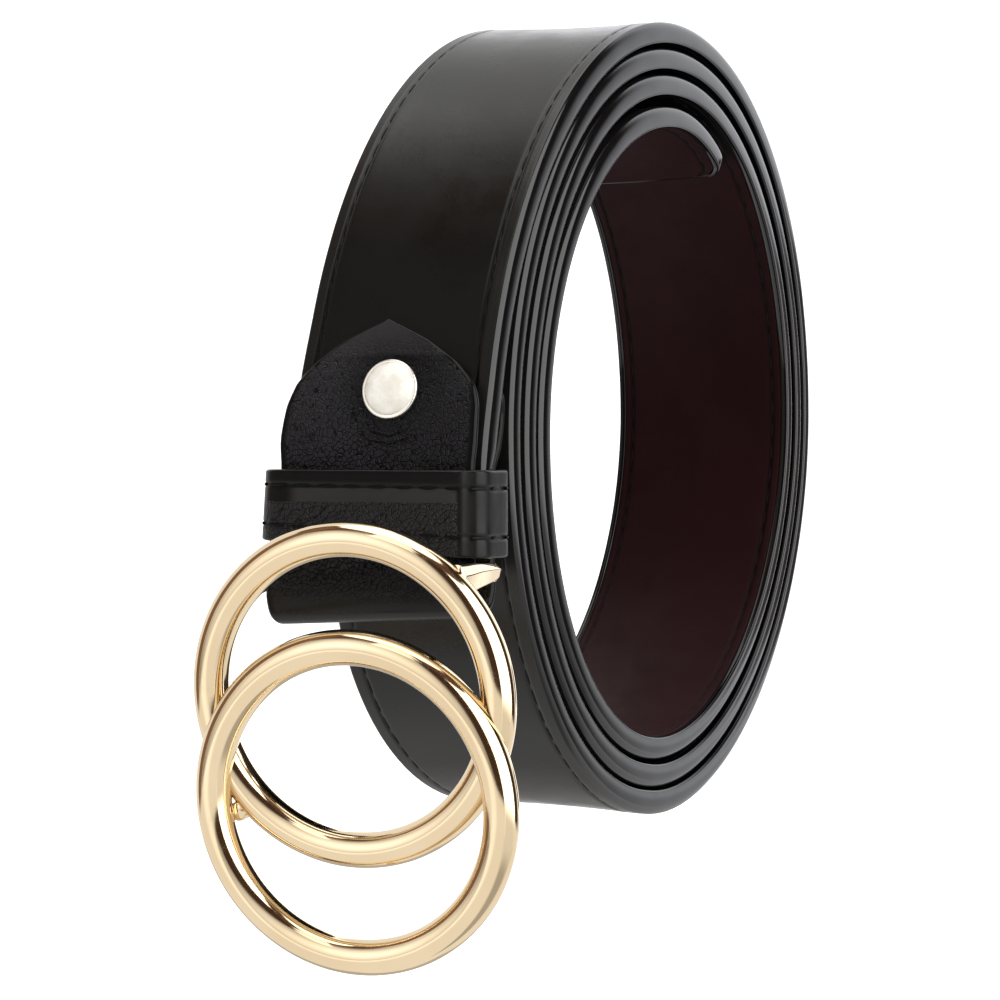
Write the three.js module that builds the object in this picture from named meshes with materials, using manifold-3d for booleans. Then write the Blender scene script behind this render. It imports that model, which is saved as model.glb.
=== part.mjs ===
// Rolled skinny belt with a double ring buckle, in millimetres, +Z up.
// X runs across the strap, -Y is the front where the buckle hangs, and the origin is where a peg
// carries the roll, at the top of its innermost turn.
import * as THREE from "three";
import { mergeVertices } from "three/addons/utils/BufferGeometryUtils.js";
import Module from "manifold-3d";

const wasm = await Module();
wasm.setup();

// Strap
const strapWidth = 28;
const half = strapWidth / 2;
const plyThickness = 1.4;
const plyGap = 0.3;
const strapThickness = 2 * plyThickness + plyGap;
const edgeBevel = 0.5;
const stepsPerQuarter = 9;
const lastTurn = 3.333;

// Outer face of each turn, measured from the centre of the roll along -Y, +Z, +Y and -Z.
const turns = [
  { front: 53.9, top: 54.86, back: 55.23, bottom: 58.99 },
  { front: 48.1, top: 50.92, back: 51.37, bottom: 55.26 },
  { front: 43.6, top: 47.29, back: 47.67, bottom: 51.52 },
  { front: 39.2, top: 42.72, back: 44.2, bottom: 48 },
];
// How much further out the strap's far edge lies than its near edge.
const flare = { front: 0.32, top: -0.36, back: 0.96, bottom: -0.39 };
// And how much more in the quarter between the bottom and the front, most of all below the keeper.
const lowerFlare = { out: 2.9, peak: 0.38 };
// Height of the front and back extremes, and depth of the top and bottom ones.
const extreme = { frontZ: -1.94, backZ: 0, topY: 0, bottomY: -0.49 };
// Exponent of the curve in each quarter: 2 is an ellipse, less is flatter, more is squarer.
const fullness = [1.77, 2.18, 1.99, 2.08];

// The tail below the roll: outer face and thickness of the face ply, and of the lining.
const tail = [
  { y: -55.05, z: -17, face: 0.9, lining: 0 },
  { y: -55.0, z: -12, face: 1.0, lining: 0 },
  { y: -54.8, z: -8, face: 1.1, lining: 0.35 },
  { y: -54.4, z: -5, face: 1.3, lining: 1.1 },
  { y: -54.1, z: -3.4, face: 1.4, lining: 1.4 },
];

// The buckle end turns a little towards +X: slope of its width direction, high and low.
const skewHigh = 0.0114;
const skewLow = 0.085;
const skewFrom = 12;
const skewTo = -9;
const foldSkew = 0.035;
const foldShift = -0.3;

// Tab folded round the bar: middle of the leather, its thickness and its share of the half width.
const tabPath = [
  { y: -48.95, z: 6.4, thick: 0.7, wide: 0.03 },
  { y: -49.1, z: 5.6, thick: 0.8, wide: 0.45 },
  { y: -49.2, z: 3.8, thick: 0.8, wide: 0.84 },
  { y: -49.65, z: 1.1, thick: 0.9, wide: 1 },
  { y: -49.1, z: -2.3, thick: 1.2, wide: 1 },
  { y: -49.95, z: -6, thick: 1.2, wide: 1 },
  { y: -51.4, z: -9.4, thick: 1.3, wide: 0.99 },
  { y: -51.65, z: -16, thick: 1.3, wide: 0.99 },
  { y: -51.8, z: -21, thick: 1.3, wide: 1 },
  { y: -51.85, z: -25.2, thick: 1.3, wide: 1.03 },
  { y: -52.9, z: -27.6, thick: 1.3, wide: 1.03 },
  { y: -55.2, z: -28.5, thick: 1.3, wide: 1.03 },
  { y: -57.5, z: -27.6, thick: 1.3, wide: 1.03 },
  { y: -58.5, z: -25.2, thick: 1.3, wide: 1.03 },
  { y: -58.1, z: -22.4, thick: 1.3, wide: 1.03 },
  { y: -57.5, z: -19, thick: 1.3, wide: 0.99 },
  { y: -57.3, z: -14, thick: 1.3, wide: 0.99 },
  { y: -57.15, z: -9, thick: 1.3, wide: 0.99 },
  { y: -56.95, z: -5, thick: 1.3, wide: 1.01 },
  { y: -56.2, z: -1, thick: 1.3, wide: 1 },
  { y: -55.35, z: 2, thick: 1.3, wide: 0.94 },
  { y: -54.35, z: 5, thick: 1.25, wide: 0.75 },
  { y: -53.35, z: 8, thick: 1.1, wide: 0.44 },
  { y: -52.75, z: 9.9, thick: 0.9, wide: 0.15 },
  { y: -52.55, z: 10.7, thick: 0.7, wide: 0.02 },
];
const tabSteps = 44;
const tabHalf = 14.0;
// The arch leans towards -X by this much at its top.
const archLean = -1.2;
const dimpleDepth = 0.7;
const dimpleRadius = 5;
const backDimple = { z: -1.8, depth: 0.5, radius: 2.6 };
const foldRoll = 0.045;

// Keeper loop
const keeper = { front: -60.2, back: -49.1, half: 15.6, wall: 1.2, corner: 2.2, top: -9.1, bottom: -19.6 };
const keeperSlope = -0.07;

// Snap
const snap = {
  x: 0.9,
  y: -54.2,
  z: 1.3,
  tilt: THREE.MathUtils.degToRad(10),
  turn: THREE.MathUtils.degToRad(3),
};
const cap = { foot: 2.2, radius: 3.9, rim: 0.7, height: 1.5 };
const post = { radius: 1.3, discRadius: 2.2, discThick: 0.4, discAt: -5.7, hole: 1.65 };

// Buckle: two rings, two lugs, the bar and the closing stud in one casting.
const ring = { radius: 20.4, tube: 2.35, drop: 13.7, forward: 2.3 };
const bar = { y: -56.2, z: -23.3, radius: 1.2, reach: 12.1, rise: 13.68, shift: -0.6 };
const lug = { inner: 15.3, thick: 2.1 };
// Lug behind the upper ring: its underside and its top, from the bar.
const lugPath = [
  { y: -12.1, low: -1.8, high: 2.8 },
  { y: -9.5, low: -1.7, high: 2.5 },
  { y: -7, low: -1.5, high: 2.3 },
  { y: -4, low: -1.2, high: 1.9 },
  { y: -1.3, low: -0.8, high: 1.4 },
  { y: 0.2, low: -0.5, high: 0.9 },
  { y: 0.9, low: -0.2, high: 0.4 },
];
const knob = { x: -17.6, z: -14.8, radius: 1.3, length: 4.2 };
const stud = { radius: 1.1, length: 2.6, headRadius: 1.7, headThick: 1.2, low: 1 };
const buckleTurn = { yaw: 4.85, roll: -3, tilt: 6.4 };

// Holes that the stud closes in
const holes = { first: 50, pitch: 20, count: 5, radius: 2 };

// Where the peg carries the roll, from its centre
const peg = { y: 0, z: turns[3].top + flare.top / 2 - strapThickness };

function smoothstep(a, b, v) {
  const t = Math.min(1, Math.max(0, (v - a) / (b - a)));
  return t * t * (3 - 2 * t);
}

function skewAt(z) {
  const low = (skewLow - skewHigh) * smoothstep(skewFrom, skewTo, z);
  return skewHigh + low + foldSkew * smoothstep(-20, -26, z);
}

// The four quarters of a turn: where each is centred, and what it reaches out to.
const sides = [
  { y: extreme.topY, z: extreme.frontZ, deep: "front", high: "top", sy: -1, sz: 1, next: 0 },
  { y: extreme.topY, z: extreme.backZ, deep: "back", high: "top", sy: 1, sz: 1, next: 0 },
  { y: extreme.bottomY, z: extreme.backZ, deep: "back", high: "bottom", sy: 1, sz: -1, next: 0 },
  { y: extreme.bottomY, z: extreme.frontZ, deep: "front", high: "bottom", sy: -1, sz: -1, next: 1 },
];

// Point of the roll's outer face at a number of turns, for the near edge or the far one.
function rollPoint(turn, far) {
  const out = (row, key) => turns[row][key] + (far ? flare[key] : 0);
  const row = Math.floor(turn + 1e-9);
  const along = (turn - row) * 4;
  const quarter = Math.min(3, Math.floor(along + 1e-9));
  const angle = (along - quarter) * (Math.PI / 2);
  const side = sides[quarter];
  const rising = quarter === 0 || quarter === 2;
  const a = rising ? angle : Math.PI / 2 - angle;
  const power = 2 / fullness[quarter];
  const share = a / (Math.PI / 2);
  const swell = smoothstep(0, lowerFlare.peak, share) * smoothstep(1, lowerFlare.peak, share);
  const bulge = far && quarter === 3 ? lowerFlare.out * swell : 0;
  const deep = out(row + side.next, side.deep) - side.sy * side.y + bulge;
  const high = out(row, side.high) - side.sz * side.z + bulge;
  return new THREE.Vector2(
    side.y + side.sy * deep * Math.max(0, Math.cos(a)) ** power,
    side.z + side.sz * high * Math.max(0, Math.sin(a)) ** power,
  );
}

// Stations along the strap: outer face at both edges, ply thicknesses, inward normal and length.
function strapStations() {
  const stations = tail.map((t) => ({
    near: new THREE.Vector2(t.y, t.z),
    far: new THREE.Vector2(t.y - flare.front, t.z),
    face: t.face,
    lining: t.lining,
    turn: 0,
  }));
  const count = Math.round(lastTurn * 4 * stepsPerQuarter);
  for (let i = 0; i <= count; i++) {
    const turn = (lastTurn * i) / count;
    stations.push({
      near: rollPoint(turn, false),
      far: rollPoint(turn, true),
      face: plyThickness,
      lining: plyThickness,
      turn,
    });
  }
  let length = 0;
  stations.forEach((s, i) => {
    const before = stations[Math.max(0, i - 1)].near;
    const after = stations[Math.min(stations.length - 1, i + 1)].near;
    const along = after.clone().sub(before).normalize();
    s.normal = new THREE.Vector2(along.y, -along.x);
    length += i ? s.near.distanceTo(before) : 0;
    s.length = length;
  });
  return stations;
}

const stations = strapStations();

// A point of the strap: across its width, at a depth below the outer face.
function strapPoint(s, x, depth) {
  const t = (half - x) / strapWidth;
  const y = THREE.MathUtils.lerp(s.near.x, s.far.x, t) + s.normal.x * depth;
  const z = THREE.MathUtils.lerp(s.near.y, s.far.y, t) + s.normal.y * depth;
  const skew = s.turn < 0.25 ? skewAt(z) - skewHigh : 0;
  return new THREE.Vector3(x, y - (half - x) * skew, z);
}

// Straight extrusion whose points are then carried to their place.
function bent(points, steps, place, holePoints) {
  const shape = new THREE.Shape(points.map(([x, y]) => new THREE.Vector2(x, y)));
  if (holePoints) shape.holes.push(new THREE.Path(holePoints.map(([x, y]) => new THREE.Vector2(x, y))));
  const geometry = new THREE.ExtrudeGeometry(shape, { depth: 1, steps, bevelEnabled: false });
  const position = geometry.getAttribute("position");
  const v = new THREE.Vector3();
  for (let i = 0; i < position.count; i++) {
    v.fromBufferAttribute(position, i);
    position.setXYZ(i, ...place(v.x, v.y, v.z).toArray());
  }
  return geometry;
}

function toSolid(geometry) {
  const bare = new THREE.BufferGeometry();
  const loose = geometry.index ? geometry.toNonIndexed() : geometry;
  bare.setAttribute("position", loose.getAttribute("position"));
  const merged = mergeVertices(bare, 1e-3);
  return new wasm.Manifold(
    new wasm.Mesh({
      numProp: 3,
      vertProperties: merged.attributes.position.array,
      triVerts: new Uint32Array(merged.index.array),
    }),
  );
}

function toGeometry(solid) {
  const mesh = solid.getMesh();
  const geometry = new THREE.BufferGeometry();
  geometry.setAttribute("position", new THREE.BufferAttribute(new Float32Array(mesh.vertProperties), 3));
  geometry.setIndex(new THREE.BufferAttribute(new Uint32Array(mesh.triVerts), 1));
  geometry.computeVertexNormals();
  return geometry;
}

function joined(geometries) {
  return geometries.map(toSolid).reduce((a, b) => a.add(b));
}

// Cylinder along a direction through a point, for cutting.
function drill(at, direction, radius, length, sides = 12) {
  const cylinder = new THREE.CylinderGeometry(radius, radius, length, sides);
  const turnTo = new THREE.Quaternion().setFromUnitVectors(new THREE.Vector3(0, 1, 0), direction);
  cylinder.applyQuaternion(turnTo);
  cylinder.translate(at.x, at.y, at.z);
  return toSolid(cylinder);
}

function stationAt(length) {
  const i = stations.findIndex((s) => s.length >= length);
  return stations[i];
}

// Strap plies
function facePly(x, y, z) {
  const s = stations[Math.round(z * (stations.length - 1))];
  return strapPoint(s, x, y * (s.face / plyThickness));
}

const liningFrom = tail.findIndex((t) => t.lining > 0);

function liningPly(x, y, z) {
  const s = stations[liningFrom + Math.round(z * (stations.length - 1 - liningFrom))];
  return strapPoint(s, x, s.face + plyGap + y * (s.lining / plyThickness));
}

const faceSection = [
  [-half, edgeBevel],
  [-half + edgeBevel, 0],
  [0, 0],
  [half - edgeBevel, 0],
  [half, edgeBevel],
  [half, plyThickness],
  [0, plyThickness],
  [-half, plyThickness],
];
const liningSection = [
  [-half, 0],
  [0, 0],
  [half, 0],
  [half, plyThickness - edgeBevel],
  [half - edgeBevel, plyThickness],
  [0, plyThickness],
  [-half + edgeBevel, plyThickness],
  [-half, plyThickness - edgeBevel],
];

// Snap axis, from the back to the cap
const snapAxis = new THREE.Vector3(
  Math.sin(snap.turn),
  -Math.cos(snap.turn) * Math.cos(snap.tilt),
  Math.sin(snap.tilt),
).normalize();

// Tab
const tabLine = new THREE.CatmullRomCurve3(
  tabPath.map((p) => new THREE.Vector3(0, p.y, p.z)),
  false,
  "centripetal",
);
const tabShare = new THREE.CatmullRomCurve3(
  tabPath.map((p) => new THREE.Vector3(p.wide, p.thick, 0)),
  false,
  "centripetal",
);

// The tab's points are spaced evenly between the rows of its table.
function tabAt(z) {
  const span = tabPath.length - 1;
  const t = Math.min(1, Math.max(0, z));
  const low = Math.min(span - 1, Math.floor(t * span));
  const part = t * span - low;
  const a = tabPath[low];
  const b = tabPath[low + 1];
  const along = tabLine.getTangent(t);
  return {
    middle: tabLine.getPoint(t),
    normal: new THREE.Vector2(along.z, -along.y),
    thick: THREE.MathUtils.lerp(a.thick, b.thick, part),
    wide: Math.max(0.02, tabShare.getPoint(t).x),
  };
}

function tabPoint(x, d, z) {
  const s = tabAt(z);
  const front = s.middle.y < -51.9 && s.middle.z > 0;
  const lean = front ? archLean * smoothstep(0, 11, s.middle.z) : 0;
  const across = x * tabHalf * s.wide + lean + foldShift * smoothstep(-20, -24, s.middle.z);
  const deep = d * s.thick * 0.5;
  let y = s.middle.y + s.normal.x * deep;
  let up = s.middle.z + s.normal.y * deep;
  if (y < -54.8 && up > -9) {
    const near = (across - snap.x) ** 2 + (up - snap.z) ** 2;
    y += dimpleDepth * Math.exp(-near / (2 * dimpleRadius ** 2));
  }
  if (y > -51 && up > -9) {
    const near = (across - snap.x) ** 2 + (up - backDimple.z) ** 2;
    y -= backDimple.depth * Math.exp(-near / (2 * backDimple.radius ** 2));
  }
  up += across * foldRoll * smoothstep(-20, -24, up);
  return new THREE.Vector3(across, y - (half - across) * skewAt(up), up);
}

const tabSpots = [-0.96, -0.66, -0.33, 0, 0.33, 0.66, 0.96];
const tabSection = [
  [-1, 0.5],
  [-1, -0.5],
  ...tabSpots.map((x) => [x, -1]),
  [1, -0.5],
  [1, 0.5],
  ...tabSpots.map((x) => [-x, 1]),
];

// Keeper
function roundedRing(halfX, low, high, corner) {
  const points = [];
  const centres = [
    [halfX - corner, low + corner, -90],
    [halfX - corner, high - corner, 0],
    [-halfX + corner, high - corner, 90],
    [-halfX + corner, low + corner, 180],
  ];
  for (const [cx, cy, from] of centres) {
    for (let i = 0; i <= 4; i++) {
      const a = THREE.MathUtils.degToRad(from + i * 22.5);
      points.push([cx + corner * Math.cos(a), cy + corner * Math.sin(a)]);
    }
  }
  return points;
}

function keeperPoint(x, y, z) {
  const low = keeper.bottom + keeperSlope * x;
  const up = THREE.MathUtils.lerp(low, keeper.top, z);
  return new THREE.Vector3(x, y - (half - x) * skewAt(up), up);
}

// Buckle
function lugGeometry(side) {
  const section = [
    [0, 0.1],
    [0.12, 0],
    [0.88, 0],
    [1, 0.12],
    [1, 0.68],
    [0.5, 1],
    [0.15, 1],
    [0, 0.9],
  ];
  const last = lugPath.length - 1;
  return bent(section, last, (x, height, t) => {
    const row = lugPath[Math.round((side > 0 ? 1 - t : t) * last)];
    const z = THREE.MathUtils.lerp(row.low, row.high, height);
    return new THREE.Vector3(side * (lug.inner + x * lug.thick), row.y, z);
  });
}

function studGeometry() {
  const profile = [
    [0, -1.4],
    [stud.radius, -1.4],
    [stud.radius, stud.length],
    [stud.headRadius, stud.length + 0.3],
    [stud.headRadius, stud.length + stud.headThick - 0.4],
    [stud.headRadius - 0.6, stud.length + stud.headThick],
    [0, stud.length + stud.headThick],
  ].map(([x, y]) => new THREE.Vector2(x, y));
  return new THREE.LatheGeometry(profile, 12);
}

function ringGeometry(y, z) {
  const torus = new THREE.TorusGeometry(ring.radius, ring.tube, 10, 40);
  torus.rotateX(Math.PI / 2);
  torus.translate(bar.shift, y, z);
  return torus;
}

const upperY = -bar.reach;
const upperZ = -bar.rise;
const lowerY = upperY - ring.forward;
const lowerZ = upperZ - ring.drop;
const barGeometry = new THREE.CylinderGeometry(bar.radius, bar.radius, 2 * lug.inner + lug.thick, 14);
barGeometry.rotateZ(Math.PI / 2);
barGeometry.translate(bar.shift, 0, 0);
const lugs = [1, -1].map((side) => lugGeometry(side).translate(bar.shift, 0, 0));
const studZ = lowerZ - ring.radius - stud.low;
const closingStud = studGeometry().translate(bar.shift, lowerY + ring.tube, studZ);
const knobGeometry = new THREE.CylinderGeometry(knob.radius, knob.radius, knob.length, 12);
knobGeometry.rotateX(Math.PI / 2);
knobGeometry.translate(bar.shift + knob.x, upperY + 0.6, upperZ + knob.z);
const casting = joined([
  ringGeometry(upperY, upperZ),
  ringGeometry(lowerY, lowerZ),
  ...lugs,
  barGeometry,
  closingStud,
  knobGeometry,
]);

// Materials
function finish(color, roughness, metalness) {
  return new THREE.MeshStandardMaterial({ color, roughness, metalness });
}

const blackLeather = () => finish(0x2c2a28, 0.38, 0);
const grainLeather = () => finish(0x262527, 0.55, 0);
const brownLining = () => finish(0x34201f, 0.6, 0);
const gold = () => finish(0xe6cfa6, 0.12, 1);
const pearl = () => finish(0xebe4d8, 0.35, 0.2);
const steel = () => finish(0xb8b4ab, 0.3, 1);

function named(name, geometry, material) {
  const mesh = new THREE.Mesh(geometry, material);
  mesh.name = name;
  return mesh;
}

// Assembly, built from the centre of the roll and then moved to the peg
const belt = new THREE.Group();
belt.position.set(0, -peg.y, -peg.z);

const total = stations[stations.length - 1].length;
const beltHoles = [];
for (let i = 0; i < holes.count; i++) {
  const s = stationAt(total - holes.first - i * holes.pitch);
  const at = strapPoint(s, 0, strapThickness / 2);
  const direction = new THREE.Vector3(0, s.normal.x, s.normal.y);
  beltHoles.push(drill(at, direction, holes.radius, strapThickness + 1));
}
const snapAt = new THREE.Vector3(snap.x, snap.y - half * skewAt(snap.z), snap.z);
const snapHole = drill(snapAt, snapAxis, post.hole, 12);

const steps = stations.length - 1;
let face = toSolid(bent(faceSection, steps, facePly));
let lining = toSolid(bent(liningSection, steps - liningFrom, liningPly));
for (const hole of beltHoles) {
  face = face.subtract(hole);
  lining = lining.subtract(hole);
}
const snapCut = toSolid(bent([[-3, -4.6], [3, -4.6], [3, 5.2], [-3, 5.2]], 1, (x, y, z) => {
  return new THREE.Vector3(snap.x + x, snapAt.y + y, snap.z - 4 + z * 8);
}));
const strapHole = snapHole.intersect(snapCut);
belt.add(named("strap_face", toGeometry(face.subtract(strapHole)), blackLeather()));
belt.add(named("strap_lining", toGeometry(lining.subtract(strapHole)), brownLining()));

const tab = toSolid(bent(tabSection, tabSteps, tabPoint)).subtract(snapHole);
belt.add(named("buckle_tab", toGeometry(tab), grainLeather()));

const keeperGeometry = bent(
  roundedRing(keeper.half, keeper.front, keeper.back, keeper.corner),
  2,
  keeperPoint,
  roundedRing(
    keeper.half - keeper.wall,
    keeper.front + keeper.wall,
    keeper.back - keeper.wall,
    keeper.corner - keeper.wall,
  ),
);
belt.add(named("keeper", keeperGeometry, blackLeather()));

// Cap in front of the tab's front leaf, post and disc behind
const snapGroup = new THREE.Group();
snapGroup.position.copy(snapAt);
snapGroup.quaternion.setFromUnitVectors(new THREE.Vector3(0, 1, 0), snapAxis);
const capProfile = [
  [0, 0],
  [cap.radius - 0.25, 0],
  [cap.radius, 0.25],
  [cap.radius, cap.rim - 0.15],
  [cap.radius - 0.3, cap.rim],
  [cap.radius * 0.66, cap.rim + (cap.height - cap.rim) * 0.62],
  [cap.radius * 0.33, cap.rim + (cap.height - cap.rim) * 0.92],
  [0, cap.height],
].map(([x, y]) => new THREE.Vector2(x, y + cap.foot));
snapGroup.add(named("snap_cap", new THREE.LatheGeometry(capProfile, 28), pearl()));
const backProfile = [
  [0, post.discAt - post.discThick],
  [post.discRadius, post.discAt - post.discThick],
  [post.discRadius, post.discAt],
  [post.radius, post.discAt],
  [post.radius, cap.foot - 0.3],
  [0, cap.foot - 0.3],
].map(([x, y]) => new THREE.Vector2(x, y));
snapGroup.add(named("snap_back", new THREE.LatheGeometry(backProfile, 20), steel()));
belt.add(snapGroup);

const buckle = new THREE.Group();
buckle.position.set(0, bar.y, bar.z);
buckle.rotation.set(
  THREE.MathUtils.degToRad(buckleTurn.tilt),
  THREE.MathUtils.degToRad(buckleTurn.roll),
  THREE.MathUtils.degToRad(buckleTurn.yaw),
  "ZYX",
);
buckle.add(named("buckle_rings", toGeometry(casting), gold()));
belt.add(buckle);

const group = new THREE.Group();
group.add(belt);

export default group;
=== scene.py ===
import math

import bpy
import numpy as np
from mathutils import Euler, Matrix, Vector


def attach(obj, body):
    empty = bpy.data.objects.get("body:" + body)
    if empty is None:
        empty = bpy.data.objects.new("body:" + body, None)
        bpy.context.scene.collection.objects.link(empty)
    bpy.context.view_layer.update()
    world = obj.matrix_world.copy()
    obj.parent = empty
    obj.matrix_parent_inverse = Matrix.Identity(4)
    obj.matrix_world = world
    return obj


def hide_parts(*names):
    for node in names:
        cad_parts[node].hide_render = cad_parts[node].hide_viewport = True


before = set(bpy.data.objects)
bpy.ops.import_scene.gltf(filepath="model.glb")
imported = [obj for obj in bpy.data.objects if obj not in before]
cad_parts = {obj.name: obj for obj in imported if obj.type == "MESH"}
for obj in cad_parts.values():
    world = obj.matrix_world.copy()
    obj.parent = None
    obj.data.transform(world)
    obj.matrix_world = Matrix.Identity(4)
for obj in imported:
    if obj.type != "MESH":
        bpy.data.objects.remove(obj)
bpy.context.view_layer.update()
print("frame loaded")

mm = 0.001
pegHeight = 39.44  # from the roll's centre up to the peg, in mm

# The roll, in mm from its centre: outer face of each turn at front, top, back and bottom.
# A pair called Starts is where a change begins and where it is complete, as heights.
rollShape = {
    "turns": [
        {"front": 54.95, "top": 55.22, "back": 55.84, "bottom": 59.52},
        {"front": 47.92, "top": 51.46, "back": 52.55, "bottom": 55.66},
        {"front": 43.3, "top": 47.72, "back": 48.94, "bottom": 51.67},
        {"front": 39.17, "top": 43.11, "back": 39.0, "bottom": 48.0},
    ],
    "lastTurn": 3.3465,
    "frontHeight": -4.56,  # where the upper and lower quarters meet
    "outerFrontHeight": -13.06,
    "backHeight": -1.68,
    "topOffset": 4.94,  # where the front and back quarters meet
    "bottomOffset": 0.77,
    "fullness": [1.958, 2.058, 1.926, 2.017],  # of each quarter, 2 is an ellipse
    "farFlare": {"front": 0.27, "top": 0.3, "back": -0.78, "bottom": -0.8},  # at the far edge
    "outerFlare": 1.3,  # more of it on the outermost turn, from the snap up to the top
    "outerFlareStarts": (-9, 6),
    "lowerFlare": 2.9,
    "lowerFlarePeak": 0.38,
    "skewHigh": 0.0114,  # slope across the width at the buckle end
    "skewLow": 0.085,
    "skewStarts": (12, -9),
    "foldSkew": 0.035,
    "foldSkewStarts": (-20, -26),
    "fullWidthStarts": (-13, 4),
    "sag": 0.45,  # hollow across the width
    "sagStarts": (0.06, 0.17),  # in turns
    # the strap is thicker at the bottom and thinner at the front, as (turn, share more)
    "swell": [
        (0.55, 0), (0.68, 0.15), (0.77, 0.15), (0.82, 0), (0.87, -0.15), (1.15, -0.15), (1.25, 0),
        (1.55, 0), (1.68, 0.11), (1.77, 0.11), (1.82, 0), (1.87, -0.15), (2.15, -0.15), (2.25, 0),
        (2.55, 0), (2.68, 0.07), (2.77, 0.07), (2.82, 0), (2.88, -0.1), (3.12, -0.1), (3.24, 0),
    ],
    "tail": [(-55.05, -18.5), (-55.02, -16)],  # the outer end, behind the keeper
    "tailSteps": 6,
    "stepsPerQuarter": 36,
}
halfWidth = 14.0
nearReach = 14.52  # half width of the nearer half, a little more than the far half's
strapThickness = 3.15
stitchInset = 2.4
quarterTurn = 0.25  # the outermost turn up to here is the front that shows


def smoothstep(low, high, value):
    t = np.clip((value - low) / (high - low), 0.0, 1.0)
    return t * t * (3 - 2 * t)


def ripple(value, seed):  # gentle unevenness between -1 and 1, the same each run
    waves = [(41.0, 0.45), (17.3, 0.3), (7.9, 0.25)]  # length in mm, share
    parts = [
        share * np.sin(2 * math.pi * value / wave + seed * (k + 1.7)) for k, (wave, share) in enumerate(waves)
    ]
    return sum(parts)


def skewAt(z):
    k = rollShape
    low = (k["skewLow"] - k["skewHigh"]) * smoothstep(*k["skewStarts"], z)
    return k["skewHigh"] + low + k["foldSkew"] * smoothstep(*k["foldSkewStarts"], z)


quarters = [  # the two faces that each quarter joins, and the way to them
    ("front", "top", -1, 1),
    ("back", "top", 1, 1),
    ("back", "bottom", 1, -1),
    ("front", "bottom", -1, -1),
]


def rollPoint(turn, far):
    # each quarter of a turn is a quarter of a full or a flat ellipse, at the near or the far edge
    k = rollShape
    row = int(turn + 1e-9)
    quarter = min(3, int((turn - row) * 4 + 1e-9))
    angle = ((turn - row) * 4 - quarter) * math.pi / 2
    deepKey, highKey, sideY, sideZ = quarters[quarter]
    a = angle if quarter in (0, 2) else math.pi / 2 - angle
    centreY = k["bottomOffset"] if quarter > 1 else k["topOffset"]
    centreZ = k["frontHeight"] if quarter in (0, 3) else k["backHeight"]
    if row == 0 and quarter == 0:
        centreZ = k["outerFrontHeight"]
    bulge = 0.0
    if far and quarter == 3:
        share = a / (math.pi / 2)
        peak = k["lowerFlarePeak"]
        bulge = k["lowerFlare"] * smoothstep(0, peak, share) * smoothstep(1, peak, share)

    def reach(line, key):
        return k["turns"][line][key] + (k["farFlare"][key] if far else 0.0)

    deep = reach(row + (quarter == 3), deepKey) - sideY * centreY + bulge
    high = reach(row, highKey) - sideZ * centreZ + bulge
    power = 2 / k["fullness"][quarter]
    y = centreY + sideY * deep * max(0.0, math.cos(a)) ** power
    z = centreZ + sideZ * high * max(0.0, math.sin(a)) ** power
    if far and turn < quarterTurn:
        y -= k["outerFlare"] * math.cos(a) * float(smoothstep(*k["outerFlareStarts"], z))
    return y, z


def makeStations():
    near, far, turnOf = [], [], []
    tail = rollShape["tail"] + [rollPoint(0, False)]
    steps = rollShape["tailSteps"]
    for (y0, z0), (y1, z1) in zip(tail, tail[1:]):
        for k in range(steps):
            y, z = y0 + (y1 - y0) * k / steps, z0 + (z1 - z0) * k / steps
            near.append((y, z))
            far.append((y - rollShape["farFlare"]["front"], z))
            turnOf.append(0.0)
    count = round(rollShape["lastTurn"] * 4 * rollShape["stepsPerQuarter"])
    for i in range(count + 1):
        turn = rollShape["lastTurn"] * i / count
        near.append(rollPoint(turn, False))
        far.append(rollPoint(turn, True))
        turnOf.append(turn)
    near, far, turnOf = np.array(near), np.array(far), np.array(turnOf)
    along = np.gradient(near, axis=0)
    along /= np.linalg.norm(along, axis=1)[:, None]
    inward = np.stack([along[:, 1], -along[:, 0]], axis=1)
    length = np.concatenate([[0], np.cumsum(np.linalg.norm(np.diff(near, axis=0), axis=1))])
    return {"near": near, "far": far, "turn": turnOf, "inward": inward, "length": length}


stations = makeStations()
strapLength = float(stations["length"][-1])


def strapPoint(at, x, depth):
    # at is a length along the strap; x and depth may be arrays of the same size
    at = np.asarray(at, float) + 0 * np.asarray(x, float)
    index = np.arange(len(stations["length"]))
    row = np.clip(np.interp(at, stations["length"], index), 0, None)

    def pick(values):
        return np.interp(row, index, values)

    turn = pick(stations["turn"])
    t = (halfWidth - x) / (2 * halfWidth)
    y, z = (pick(stations["near"][:, i]) * (1 - t) + pick(stations["far"][:, i]) * t for i in (0, 1))
    depth = depth * (1 + np.interp(turn, *zip(*rollShape["swell"])))
    rolled = smoothstep(*rollShape["sagStarts"], turn)
    depth = depth + rollShape["sag"] * rolled * (1 - (x / halfWidth) ** 2)
    beyond = np.where(turn > quarterTurn, 1.0, smoothstep(*rollShape["fullWidthStarts"], z))
    x = x + (nearReach - halfWidth) * np.clip(x / halfWidth, 0, 1) * beyond
    y = y + pick(stations["inward"][:, 0]) * depth
    z = z + pick(stations["inward"][:, 1]) * depth
    skew = np.where(turn < quarterTurn, skewAt(z) - rollShape["skewHigh"], 0.0)
    y = y - (halfWidth - x) * skew
    return np.stack([x + 0 * y, y, z], axis=-1)


def toRow(points):  # mm from the roll's centre to metres from the peg
    points = np.array(points, float)
    points[..., 2] -= pegHeight
    return points * mm


# Mesh helpers


def newObject(name, data):
    made = bpy.data.objects.new(name, data)
    bpy.context.scene.collection.objects.link(made)
    return made


def removeObject(spent):
    mesh = spent.data
    bpy.data.objects.remove(spent)
    bpy.data.meshes.remove(mesh)


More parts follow.
